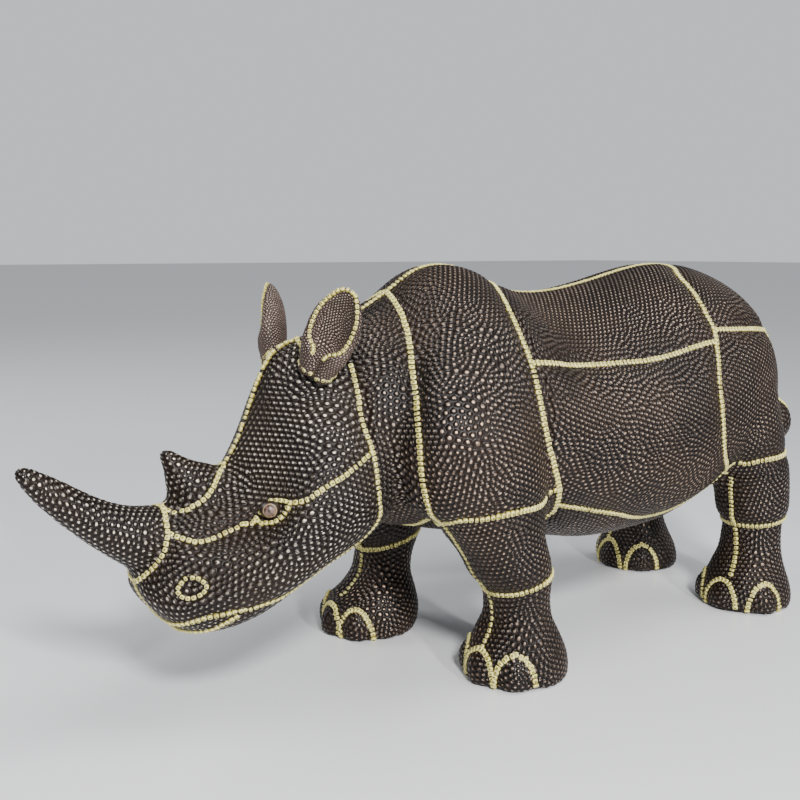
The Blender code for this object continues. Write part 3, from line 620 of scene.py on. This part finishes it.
form = fusedForm(rawForms(True), carving["grain"], carving["softening"])
form.name = "form"
skin = BVHTree.FromObject(form, bpy.context.evaluated_depsgraph_get())
seamMarks = marksOn(skin, [p for _, path in seamPaths() for p in resample(path, carving["markStep"])])
dip(form, seamMarks, carving["foldDepth"], carving["foldWidth"])
for hollow in hollows.values():
    for side in (-1, 1):
        line = onSide(hollow["points"], side)
        if len(line) > 1:
            line = resample(line, carving["hollowStep"])
        dip(form, marksOn(skin, line), hollow["depth"], hollow["width"])
formTree = BVHTree.FromObject(form, bpy.context.evaluated_depsgraph_get())
print("stage 2: form", len(form.data.polygons), "faces")


# Pebbles: the cells of an even net of triangles, each raised to a low dome; sizes in millimetres
pebbles = {
    "bodyPitch": 2.75,
    "earPitch": 1.35,
    "turn": (0.6, 0.35, 0.45),   # tilts the net, so its rows don't follow the axes
    "turning": 3,                # rounds of turned edges
    "evening": 4,                # rounds of smoothing along the skin
    "eveningSteps": 3,
    "groove": 0.30,
    "shoulder": 0.30,            # between a cell's edge and its flat top
    "shoulderCrown": 0.75,
    "rise": 0.55,
    "crown": 0.20,
    "soleBand": 0.8,             # cells this low lie on the soles and stay flat
    "seed": 7,
    "brushLeast": 0.3,           # the dots are fainter beside a seam
    "brushAway": 0.5,
    "seamReach": 22,
    "brushPatches": 0.9,
    "patchSize": 34,
    "paleTo": -70,               # the dots are cream on the head and tan behind it
    "paleOver": 25,
}


def evenNet(bm, rounds):
    # turns edges until nearly every corner has six neighbours
    for _ in range(rounds):
        for edge in list(bm.edges):
            if not edge.is_valid or len(edge.link_faces) != 2:
                continue
            ends = edge.verts[:]
            tips = [next(v for v in face.verts if v not in ends) for face in edge.link_faces]
            if tips[0] is tips[1] or bm.edges.get(tips):
                continue
            now = [len(v.link_edges) - 6 for v in ends + tips]
            then = [now[0] - 1, now[1] - 1, now[2] + 1, now[3] + 1]
            if sum(n * n for n in then) < sum(n * n for n in now):
                bmesh.utils.edge_rotate(edge, False)


def dualGroup():
    group = bpy.data.node_groups.new("cells", "GeometryNodeTree")
    group.interface.new_socket("Geometry", in_out="INPUT", socket_type="NodeSocketGeometry")
    group.interface.new_socket("Geometry", in_out="OUTPUT", socket_type="NodeSocketGeometry")
    start, dual, end = (group.nodes.new(kind) for kind in
                        ("NodeGroupInput", "GeometryNodeDualMesh", "NodeGroupOutput"))
    group.links.new(start.outputs[0], dual.inputs[0])
    group.links.new(dual.outputs[0], end.inputs[0])
    return group


cells = dualGroup()


def pebbleNet(raw, pitch, onto):
    turn = Euler(pebbles["turn"]).to_matrix().to_4x4()
    raw.data.transform(turn)
    addModifier(raw, "REMESH", mode="VOXEL", voxel_size=pitch * carving["unit"])
    settle(raw)
    raw.data.transform(turn.inverted())
    bm = bmesh.new()
    bm.from_mesh(raw.data)
    bmesh.ops.triangulate(bm, faces=bm.faces)
    evenNet(bm, pebbles["turning"])
    bm.to_mesh(raw.data)
    bm.free()
    for _ in range(pebbles["evening"]):
        addModifier(raw, "SMOOTH", factor=carving["smoothing"], iterations=pebbles["eveningSteps"])
        addModifier(raw, "SHRINKWRAP", target=onto, wrap_method="NEAREST_SURFACEPOINT")
    settle(raw)
    addModifier(raw, "NODES", node_group=cells)
    settle(raw)
    return raw


def patchAt(place):
    # a slow variation over the casting, from -0.5 to 0.5
    return 0.5 * noise.noise(place / (pebbles["patchSize"] * carving["unit"]))


def sinkEdges(net, depth):
    bm = bmesh.new()
    bm.from_mesh(net.data)
    bm.normal_update()
    for vert in bm.verts:
        vert.co -= vert.normal * depth * carving["unit"]
        vert.co.z = max(vert.co.z, 0)
    return bm


def raisePebbles(bm, scale):
    # every cell off the soles becomes a dome; tone, brush and pale are its paint, crown its height, which the
    # paint also reads for painted shade low on the dome and for the dot on top, partly a painted highlight
    random.seed(pebbles["seed"])
    tone = bm.faces.layers.float.new("tone")
    brush = bm.faces.layers.float.new("brush")
    pale = bm.faces.layers.float.new("pale")
    crown = bm.verts.layers.float.new("crown")
    top = [f for f in bm.faces if f.calc_center_median().z > pebbles["soleBand"] * carving["unit"]]
    for face in top:
        place = face.calc_center_median()
        away = min(1.0, seamMarks.find(place)[2] / (pebbles["seamReach"] * carving["unit"]))
        face[tone] = random.random()
        face[brush] = min(1.0, pebbles["brushLeast"] + pebbles["brushAway"] * away
                          + pebbles["brushPatches"] * patchAt(place))
        x = place.x / carving["unit"] + carving["middleX"]
        face[pale] = min(1.0, max(0.0, (pebbles["paleTo"] - x) / pebbles["paleOver"]))
    unit = carving["unit"] * scale
    bmesh.ops.inset_individual(bm, faces=top, thickness=pebbles["shoulder"] * unit,
                               depth=pebbles["rise"] * unit, use_even_offset=False)
    for face in top:
        for vert in face.verts:
            vert[crown] = pebbles["shoulderCrown"]
    made = bmesh.ops.poke(bm, faces=top, offset=pebbles["crown"] * unit, center_mode="MEAN_WEIGHTED")
    for vert in made["verts"]:
        vert[crown] = 1.0
    for face in bm.faces:
        face.smooth = True


def finished(name, bm, material):
    made = objectOf(name, bm)
    made.data.materials.append(material)
    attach(made, "root")
    return made


# Paint. Every colour is an sRGB hex value.
def linear(code):
    values = [int(code[i:i + 2], 16) / 255 for i in (1, 3, 5)]
    return [v / 12.92 if v <= 0.04045 else ((v + 0.055) / 1.055) ** 2.4 for v in values] + [1.0]


def addNode(tree, kind, links=None, out=0, **settings):
    # adds a node and gives one output of it; links are input: output that feeds it,
    # and a setting is a property, or in_ with an input's name or number
    node = tree.nodes.new(kind)
    for name, value in settings.items():
        if name.startswith("in_"):
            key = name[3:]
            node.inputs[int(key) if key.isdigit() else key].default_value = value
        else:
            setattr(node, name, value)
    for key, source in (links or {}).items():
        tree.links.new(source, node.inputs[key])
    return node.outputs[out]


def newMaterial(name):
    made = bpy.data.materials.new(name)
    made.use_nodes = True
    tree = made.node_tree
    return made, tree, tree.nodes["Principled BSDF"]


# Cast resin, stained near black, each pebble with a small dot on its crown, partly dry-brushed paint and
# partly a painted highlight
hidePaint = {
    # groove: painted shade between the pebbles and low on each dome
    "groove": "#060403",
    "stain": "#1A120E",
    "warmStain": "#281C14",
    "bronze": "#BBA28C",
    "cream": "#EFE4D0",
    "shade": (0.1, 0.65),       # heights on a pebble between which the groove's dark ends
    "dot": (0.86, 0.95),        # and between which the dot starts, partly dry-brushed paint and partly a painted highlight
    "brushed": (0.1, 0.8),      # where each pattern begins to count, and counts in full
    "toned": (-0.5, 0.8),
    "gritty": (0.25, 0.5),
    "blotched": (0.35, 0.65),
    "roughness": (0.22, 0.42),
    "roughened": (0.3, 0.7),
    "metallic": 0.35,
    "specular": 0.36,
    "grit": 0.4,                # millimetres
    "coarser": 2,               # the grit is drawn this many times as coarse, or it wouldn't show
    "gritDepth": 0.1,
    "gritStrength": 0.15,
    "blotch": 26.0,
}


def hideMaterial(name, paint):
    made, tree, shader = newMaterial(name)
    place = addNode(tree, "ShaderNodeTexCoord", out="Object")
    crown, tone, brush, pale = (addNode(tree, "ShaderNodeAttribute", out="Fac", attribute_name=key)
                                for key in ("crown", "tone", "brush", "pale"))
    blotch = addNode(tree, "ShaderNodeTexNoise", {"Vector": place}, in_Detail=3.0,
                     in_Scale=1000 / paint["blotch"])
    grit = addNode(tree, "ShaderNodeTexNoise", {"Vector": place}, in_Detail=2.0,
                   in_Scale=1000 / paint["grit"] / paint["coarser"])
    spreads = ((blotch, "blotched"), (crown, "shade"), (crown, "dot"), (brush, "brushed"), (tone, "toned"),
               (grit, "gritty"))
    warm, lit, *dotAndHighlightShares = (addNode(tree, "ShaderNodeMapRange", {0: source}, interpolation_type="SMOOTHSTEP",
                                  in_1=paint[key][0], in_2=paint[key][1]) for source, key in spreads)
    # worn: where each pebble's crown dot shows, partly dry-brushed paint and partly a painted highlight
    worn = dotAndHighlightShares[0]
    for share in dotAndHighlightShares[1:]:
        worn = addNode(tree, "ShaderNodeMath", {0: worn, 1: share}, operation="MULTIPLY")
    stain = addNode(tree, "ShaderNodeMix", {0: warm}, 2, data_type="RGBA", in_6=linear(paint["stain"]),
                    in_7=linear(paint["warmStain"]))
    shaded = addNode(tree, "ShaderNodeMix", {0: lit, 7: stain}, 2, data_type="RGBA",
                     in_6=linear(paint["groove"]))
    dots = addNode(tree, "ShaderNodeMix", {0: pale}, 2, data_type="RGBA", in_6=linear(paint["bronze"]),
                   in_7=linear(paint["cream"]))
    colour = addNode(tree, "ShaderNodeMix", {0: worn, 6: shaded, 7: dots}, 2, data_type="RGBA")
    tree.links.new(colour, shader.inputs["Base Color"])
    low, high = paint["roughened"]
    smooth, dull = paint["roughness"]
    rough = addNode(tree, "ShaderNodeMapRange", {0: grit}, in_1=low, in_2=high, in_3=smooth, in_4=dull)
    tree.links.new(rough, shader.inputs["Roughness"])
    shader.inputs["Metallic"].default_value = paint["metallic"]
    shader.inputs["Specular IOR Level"].default_value = paint["specular"]
    bump = addNode(tree, "ShaderNodeBump", {"Height": grit}, in_Strength=paint["gritStrength"],
                   in_Distance=paint["gritDepth"] * carving["unit"])
    tree.links.new(bump, shader.inputs["Normal"])
    return made


hideResin = hideMaterial("bronze-brushed resin with painted highlights", hidePaint)

bodyNet = pebbleNet(rawForms(False), pebbles["bodyPitch"], form)
print("stage 3: body net", len(bodyNet.data.polygons), "cells")

# Plates: which piece a cell belongs to, by where it lies, in the carver's millimetres
plateLimits = {
    "head": -86,
    "shoulder": -20,
    "rump": 77,
    "legTop": 66,
    "legInside": 14,
    "foreleg": 5,
    "hindLeg": 96,
}


def plateOf(place):
    x = place.x / carving["unit"] + carving["middleX"]
    fromMiddle, z = abs(place.y) / carving["unit"], place.z / carving["unit"]
    if x < plateLimits["head"]:
        return "head"
    if z < plateLimits["legTop"] and fromMiddle > plateLimits["legInside"]:
        if x < plateLimits["foreleg"]:
            return "forelegs"
        if x > plateLimits["hindLeg"]:
            return "hind_legs"
    if x < plateLimits["shoulder"]:
        return "shoulders"
    return "barrel" if x < plateLimits["rump"] else "rump"


def hidePieces():
    whole = sinkEdges(bodyNet, pebbles["groove"])
    names = ["head", "forelegs", "hind_legs", "shoulders", "barrel", "rump"]
    plate = whole.faces.layers.int.new("plate")
    for face in whole.faces:
        face[plate] = names.index(plateOf(face.calc_center_median()))
    pieces = []
    for number, name in enumerate(names):
        bm = whole.copy()
        layer = bm.faces.layers.int["plate"]
        bmesh.ops.delete(bm, geom=[f for f in bm.faces if f[layer] != number], context="FACES")
        raisePebbles(bm, 1.0)
        made = finished(name + "_hide", bm, hideResin)
        print("stage 4:", made.name, len(made.data.polygons), "faces")
        pieces.append(made)
    whole.free()
    return pieces


pieces = hidePieces()
for piece in pieces:
    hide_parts("rhinoceros")
bpy.data.objects.remove(bodyNet)

# Ears: finer pebbles, mauve brown inside
earPaint = dict(hidePaint, stain="#4B3C36", warmStain="#62524A", bronze="#B4A396", cream="#D6C8B8", grit=0.3)


def earPiece(side, material):
    def rawEar():
        bm = bmesh.new()
        buildEar(bm, side)
        return objectOf("ear form", bm)

    shell = fusedForm(rawEar(), ear["grain"], ear["softening"])
    net = pebbleNet(rawEar(), pebbles["earPitch"], shell)
    bm = sinkEdges(net, pebbles["groove"] * ear["relief"])
    raisePebbles(bm, ear["relief"])
    made = finished("ear_left" if side < 0 else "ear_right", bm, material)
    bpy.data.objects.remove(net)
    tree = BVHTree.FromObject(shell, bpy.context.evaluated_depsgraph_get())
    bpy.data.objects.remove(shell)
    print("stage 4:", made.name, len(made.data.polygons), "faces")
    return tree


earResin = hideMaterial("ear resin", earPaint)
earTrees = {side: earPiece(side, earResin) for side in (-1, 1)}

# Eyes: painted balls behind the lids, dark with a pale ring round a mottled middle
eyeBall = {
    "place": (-124.4, 24.9, 79.7),
    "radii": (3.9, 3.4, 3.1),
    "turn": 32,            # degrees outwards from straight ahead
    "lift": 0.1,
    "back": 9.0,           # the half that looks inwards counts as this far from the middle
    "ring": 2.3,
    "ringWidth": 0.3,
    "mottle": 1.1111,      # millimetres
    "mottled": (0.4, 0.6),
    "dark": "#35261F",
    "light": "#6E5548",
    "ringColour": "#98805F",
    "outside": "#1E1410",
    "roughness": 0.42,
    "coat": 0.15,
}


def eyeMaterial(name):
    made, tree, shader = newMaterial(name)
    place = addNode(tree, "ShaderNodeTexCoord", out="Object")
    away = addNode(tree, "ShaderNodeAttribute", out="Fac", attribute_name="away")
    mottle = addNode(tree, "ShaderNodeTexNoise", {"Vector": place}, in_Detail=2.0,
                     in_Scale=1000 / eyeBall["mottle"])
    ring, width = eyeBall["ring"], eyeBall["ringWidth"]
    spreads = ((mottle, *eyeBall["mottled"]), (away, ring - width, ring), (away, ring, ring + width))
    mottled, atRing, pastRing = (addNode(tree, "ShaderNodeMapRange", {0: source}, in_1=low, in_2=high,
                                         interpolation_type="SMOOTHSTEP") for source, low, high in spreads)
    middle = addNode(tree, "ShaderNodeMix", {0: mottled}, 2, data_type="RGBA", in_6=linear(eyeBall["dark"]),
                     in_7=linear(eyeBall["light"]))
    inner = addNode(tree, "ShaderNodeMix", {0: atRing, 6: middle}, 2, data_type="RGBA",
                    in_7=linear(eyeBall["ringColour"]))
    colour = addNode(tree, "ShaderNodeMix", {0: pastRing, 6: inner}, 2, data_type="RGBA",
                     in_7=linear(eyeBall["outside"]))
    tree.links.new(colour, shader.inputs["Base Color"])
    shader.inputs["Roughness"].default_value = eyeBall["roughness"]
    shader.inputs["Coat Weight"].default_value = eyeBall["coat"]
    return made


def eyePiece(side, material):
    bm = bmesh.new()
    away = bm.verts.layers.float.new("away")
    x, y, z = eyeBall["place"]
    made = bmesh.ops.create_uvsphere(bm, u_segments=40, v_segments=24, radius=1)["verts"]
    radiusX, radiusY, radiusZ = eyeBall["radii"]
    turn = math.radians(eyeBall["turn"])
    look = Vector((-math.sin(turn), side * math.cos(turn), eyeBall["lift"])).normalized()
    for vert in made:
        point = Vector((vert.co.x * radiusX, vert.co.y * radiusY, vert.co.z * radiusZ))
        ahead = point.dot(look)
        vert[away] = (point - look * ahead).length if ahead > 0 else eyeBall["back"]
        vert.co = toFrame((x + point.x, side * y + point.y, z + point.z))
    for face in bm.faces:
        face.smooth = True
    return finished("eye_left" if side < 0 else "eye_right", bm, material)


eyeResin = eyeMaterial("painted eye")
for side in (-1, 1):
    eyePiece(side, eyeResin)

# Seams: rows of cushion beads, with a painted highlight on the rim and painted shade in the olive hollow
beads = {
    "body": {"pitch": 2.1, "width": 2.7, "height": 1.25, "root": 1.3},
    "head": {"pitch": 2.2, "width": 2.1, "height": 1.15, "root": 1.2},
    "ring": {"pitch": 2.0, "width": 1.75, "height": 1.0, "root": 1.0},
    "lid": {"pitch": 2.0, "width": 1.8, "height": 2.0, "root": 1.0},
    "earFoot": {"pitch": 2.0, "width": 1.9, "height": 2.0, "root": 1.0},
    "rim": {"pitch": 1.9, "width": 1.6, "height": 1.2, "root": 0.7},
}
beadShape = {
    "squareness": 0.45,
    "cutBelow": -0.6,        # of the half height, where the bead is open in the hide
    "rootStretch": 2,
    "waist": 0.1,            # the colour changes this far above and below the widest place: painted shade of the foot below, painted highlight rising above
    "waistRim": 0.3,
    # how quickly the painted highlight rises towards the top
    "rimHighlightRamp": 1.25,
    "hollow": 0.5,
    "hollowAbove": 0.99,
    "lowest": 0.7,           # no bead stands lower over the floor
    "seed": 11,
    "gapEvery": 8,           # every so many beads one is short
    "gap": 0.68,
    "fill": 0.96,
    "lengths": (0.93, 1.02),
    "widths": (0.92, 1.06),
    "heights": (0.9, 1.08),
}


def beadAt(bm, place, along, normal, length, width, height, root):
    # a rounded square cushion with a small hollow on top
    rim, hollow = bm.verts.layers.float["rim"], bm.verts.layers.float["hollow"]
    across = along.cross(normal)
    made = bmesh.ops.create_uvsphere(bm, u_segments=8, v_segments=6, radius=1)["verts"]
    low = [v for v in made if v.co.z < beadShape["cutBelow"]]
    waist = beadShape["waist"]
    for vert in made:
        x, y, z = vert.co
        reach = math.hypot(x, y)
        if reach > 0.01:
            x = signedPower(x / reach, beadShape["squareness"]) * reach
            y = signedPower(y / reach, beadShape["squareness"]) * reach
        rise = z * height if z > 0 else z * root * beadShape["rootStretch"]
        # rim carries the painted highlight above the waist and the painted shade of the foot below it; hollow
        # marks the painted shade in the dimple
        if z > waist:
            vert[rim] = min(1.0, beadShape["rimHighlightRamp"] * z)
        elif z > -waist:
            vert[rim] = beadShape["waistRim"]
        if z > beadShape["hollowAbove"]:
            vert[hollow] = 1.0
            rise *= beadShape["hollow"]
        vert.co = place + (along * x * length / 2 + across * y * width / 2 + normal * rise) * carving["unit"]
        vert.co.z = max(vert.co.z, 0)
    bmesh.ops.delete(bm, geom=low, context="VERTS")


def beadRow(bm, tree, path, shape):
    points = resample(path, shape["pitch"] / 2)
    middle = points[1::2]
    for i, point in enumerate(middle):
        place, normal = nearSkin(tree, toFrame(point))
        if place.z < beadShape["lowest"] * carving["unit"]:
            continue
        ahead = middle[min(i + 1, len(middle) - 1)] - middle[max(i - 1, 0)]
        along = (ahead - normal * ahead.dot(normal)).normalized()
        fill = beadShape["gap"] if random.random() < 1 / beadShape["gapEvery"] else beadShape["fill"]
        length = shape["pitch"] * fill * random.uniform(*beadShape["lengths"])
        width = shape["width"] * random.uniform(*beadShape["widths"])
        height = shape["height"] * random.uniform(*beadShape["heights"])
        beadAt(bm, place, along, normal, length, width, height, shape["root"])


def seamRows():
    # each row is made on its own and then added to the whole, which is far quicker
    whole = bmesh.new()
    random.seed(beadShape["seed"])
    rows = [(formTree, kind, path) for kind, path in seamPaths()]
    rows += [(earTrees[side], "rim", earRim(side)) for side in (-1, 1)]
    for tree, kind, path in rows:
        row = bmesh.new()
        row.verts.layers.float.new("rim")
        row.verts.layers.float.new("hollow")
        beadRow(row, tree, path, beads[kind])
        mesh = bpy.data.meshes.new("row")
        row.to_mesh(mesh)
        row.free()
        whole.from_mesh(mesh)
        bpy.data.meshes.remove(mesh)
    for face in whole.faces:
        face.smooth = True
    return whole


# Antique gold paint on the raised beads, with a painted highlight in cream on the rims, painted shade in olive
# in the hollows and painted shade in brown at the foot
goldPaint = {
    # foot: painted shade where the bead meets the hide
    "foot": "#2E2610",
    "side": "#A89A3C",
    # rim: painted highlight; hollow: painted shade
    "rim": "#E9DF92",
    "hollow": "#7F7719",
    "worn": "#9A8B3E",
    "sideFrom": (0.05, 0.4),     # heights on a bead between which one colour turns to the next
    "rimHighlightFrom": (0.4, 0.8),
    "hollowShadeFrom": (0.0, 0.35),
    "wear": 3.3333,              # millimetres
    "wornFrom": (0.5, 0.75),
    "mostWorn": 0.6,
    "roughness": 0.4,
    "metallic": 0.1,
}


def goldMaterial(paint):
    made, tree, shader = newMaterial("antique gold paint")
    place = addNode(tree, "ShaderNodeTexCoord", out="Object")
    rim, hollow = (addNode(tree, "ShaderNodeAttribute", out="Fac", attribute_name=key)
                   for key in ("rim", "hollow"))
    wear = addNode(tree, "ShaderNodeTexNoise", {"Vector": place}, in_Detail=3.0, in_Scale=1000 / paint["wear"])
    spreads = ((rim, "sideFrom"), (rim, "rimHighlightFrom"), (wear, "wornFrom"), (hollow, "hollowShadeFrom"))
    clearOfFootShade, rimHighlights, onWorn, hollowShades = (
        addNode(tree, "ShaderNodeMapRange", {0: source}, interpolation_type="SMOOTHSTEP",
                in_1=paint[key][0], in_2=paint[key][1]) for source, key in spreads)
    onWorn = addNode(tree, "ShaderNodeMath", {0: onWorn}, operation="MULTIPLY", in_1=paint["mostWorn"])
    colour = addNode(tree, "ShaderNodeMix", {0: clearOfFootShade}, 2, data_type="RGBA", in_6=linear(paint["foot"]),
                     in_7=linear(paint["side"]))
    for share, key in ((rimHighlights, "rim"), (onWorn, "worn"), (hollowShades, "hollow")):
        colour = addNode(tree, "ShaderNodeMix", {0: share, 6: colour}, 2, data_type="RGBA",
                         in_7=linear(paint[key]))
    tree.links.new(colour, shader.inputs["Base Color"])
    shader.inputs["Roughness"].default_value = paint["roughness"]
    shader.inputs["Metallic"].default_value = paint["metallic"]
    return made


seams = finished("seam_beads", seamRows(), goldMaterial(goldPaint))
print("stage 5: seams", len(seams.data.polygons), "faces")

# A pale polished floor, a little below the soles
floorSheet = {"half": 12, "gap": 0.0002, "colour": "#E6E6E8", "roughness": 0.28}


def layFloor():
    bm = bmesh.new()
    bmesh.ops.create_grid(bm, x_segments=1, y_segments=1, size=floorSheet["half"])
    bmesh.ops.translate(bm, verts=bm.verts, vec=(0, 0, -floorSheet["gap"]))
    made = objectOf("floor", bm)
    material, _, shader = newMaterial("polished pale floor")
    shader.inputs["Base Color"].default_value = linear(floorSheet["colour"])
    shader.inputs["Roughness"].default_value = floorSheet["roughness"]
    made.data.materials.append(material)
    made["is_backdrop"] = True


layFloor()

# Studio: small lamps give each pebble its glint, a wide window lights from above, a fill lifts the far side
studio = {
    "world": "#DDE6EE",
    "worldStrength": 0.32,
    "backdrop": "#E4E8EC",
    "backdropStrength": 0.9,
    "target": (0, 0, 0.09),
}
lamps = {
    "key": {"place": (-0.35, -0.9, 0.75), "size": 0.2, "power": 17},
    "spark": {"place": (-0.05, -0.75, 0.38), "size": 0.05, "power": 3.5},
    "window": {"from": (0.5, -0.35, 1.1), "spread": 35, "strength": 1.7},
    "far fill": {"place": (-0.6, 0.9, 0.9), "size": 0.8, "power": 7},
}


def hangLamp(name, lamp):
    light = bpy.data.lights.new(name, "AREA")
    light.shape = "DISK"
    light.size = lamp["size"]
    light.energy = lamp["power"]
    made = bpy.data.objects.new(name, light)
    made.location = lamp["place"]
    made.rotation_euler = (Vector(studio["target"]) - made.location).to_track_quat("-Z", "Y").to_euler()
    bpy.context.scene.collection.objects.link(made)


def openWindow(name, lamp):
    light = bpy.data.lights.new(name, "SUN")
    light.energy = lamp["strength"]
    light.angle = math.radians(lamp["spread"])
    made = bpy.data.objects.new(name, light)
    made.rotation_euler = Vector(lamp["from"]).to_track_quat("Z", "Y").to_euler()
    bpy.context.scene.collection.objects.link(made)


def paintBackdrop():
    # the camera sees a brighter backdrop than the one that lights the figure
    world = bpy.data.worlds.new("studio")
    bpy.context.scene.world = world
    world.use_nodes = True
    tree = world.node_tree
    ambient = tree.nodes["Background"]
    ambient.inputs["Color"].default_value = linear(studio["world"])
    ambient.inputs["Strength"].default_value = studio["worldStrength"]
    backdrop = addNode(tree, "ShaderNodeBackground", in_Color=linear(studio["backdrop"]),
                       in_Strength=studio["backdropStrength"])
    seen = addNode(tree, "ShaderNodeLightPath", out="Is Camera Ray")
    both = addNode(tree, "ShaderNodeMixShader", {0: seen, 1: ambient.outputs[0], 2: backdrop})
    tree.links.new(both, tree.nodes["World Output"].inputs[0])


paintBackdrop()
for name, lamp in lamps.items():
    if "spread" in lamp:
        openWindow(name, lamp)
    else:
        hangLamp(name, lamp)

# Camera, worked out from the four feet
view = {
    "place": (-0.262, -0.334, 0.170),
    "turn": 34.0,
    "fall": 0.15,        # over a length of one
    "lens": 45.0,
    "sensor": 36,
    "nearest": 0.01,
}


def setCamera():
    camera = bpy.data.objects.new("camera", bpy.data.cameras.new("camera"))
    bpy.context.scene.collection.objects.link(camera)
    camera.location = view["place"]
    camera.rotation_euler = (math.radians(90) - math.atan(view["fall"]), 0, math.radians(-view["turn"]))
    camera.data.lens = view["lens"]
    camera.data.sensor_width = view["sensor"]
    camera.data.clip_start = view["nearest"]
    bpy.context.scene.camera = camera


setCamera()

bpy.data.objects.remove(form)
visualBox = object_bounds()
for name, box in (("cad", cadBox), ("visual", visualBox)):
    print("stage 6:", name, "box", [[round(v, 4) for v in corner] for corner in box])
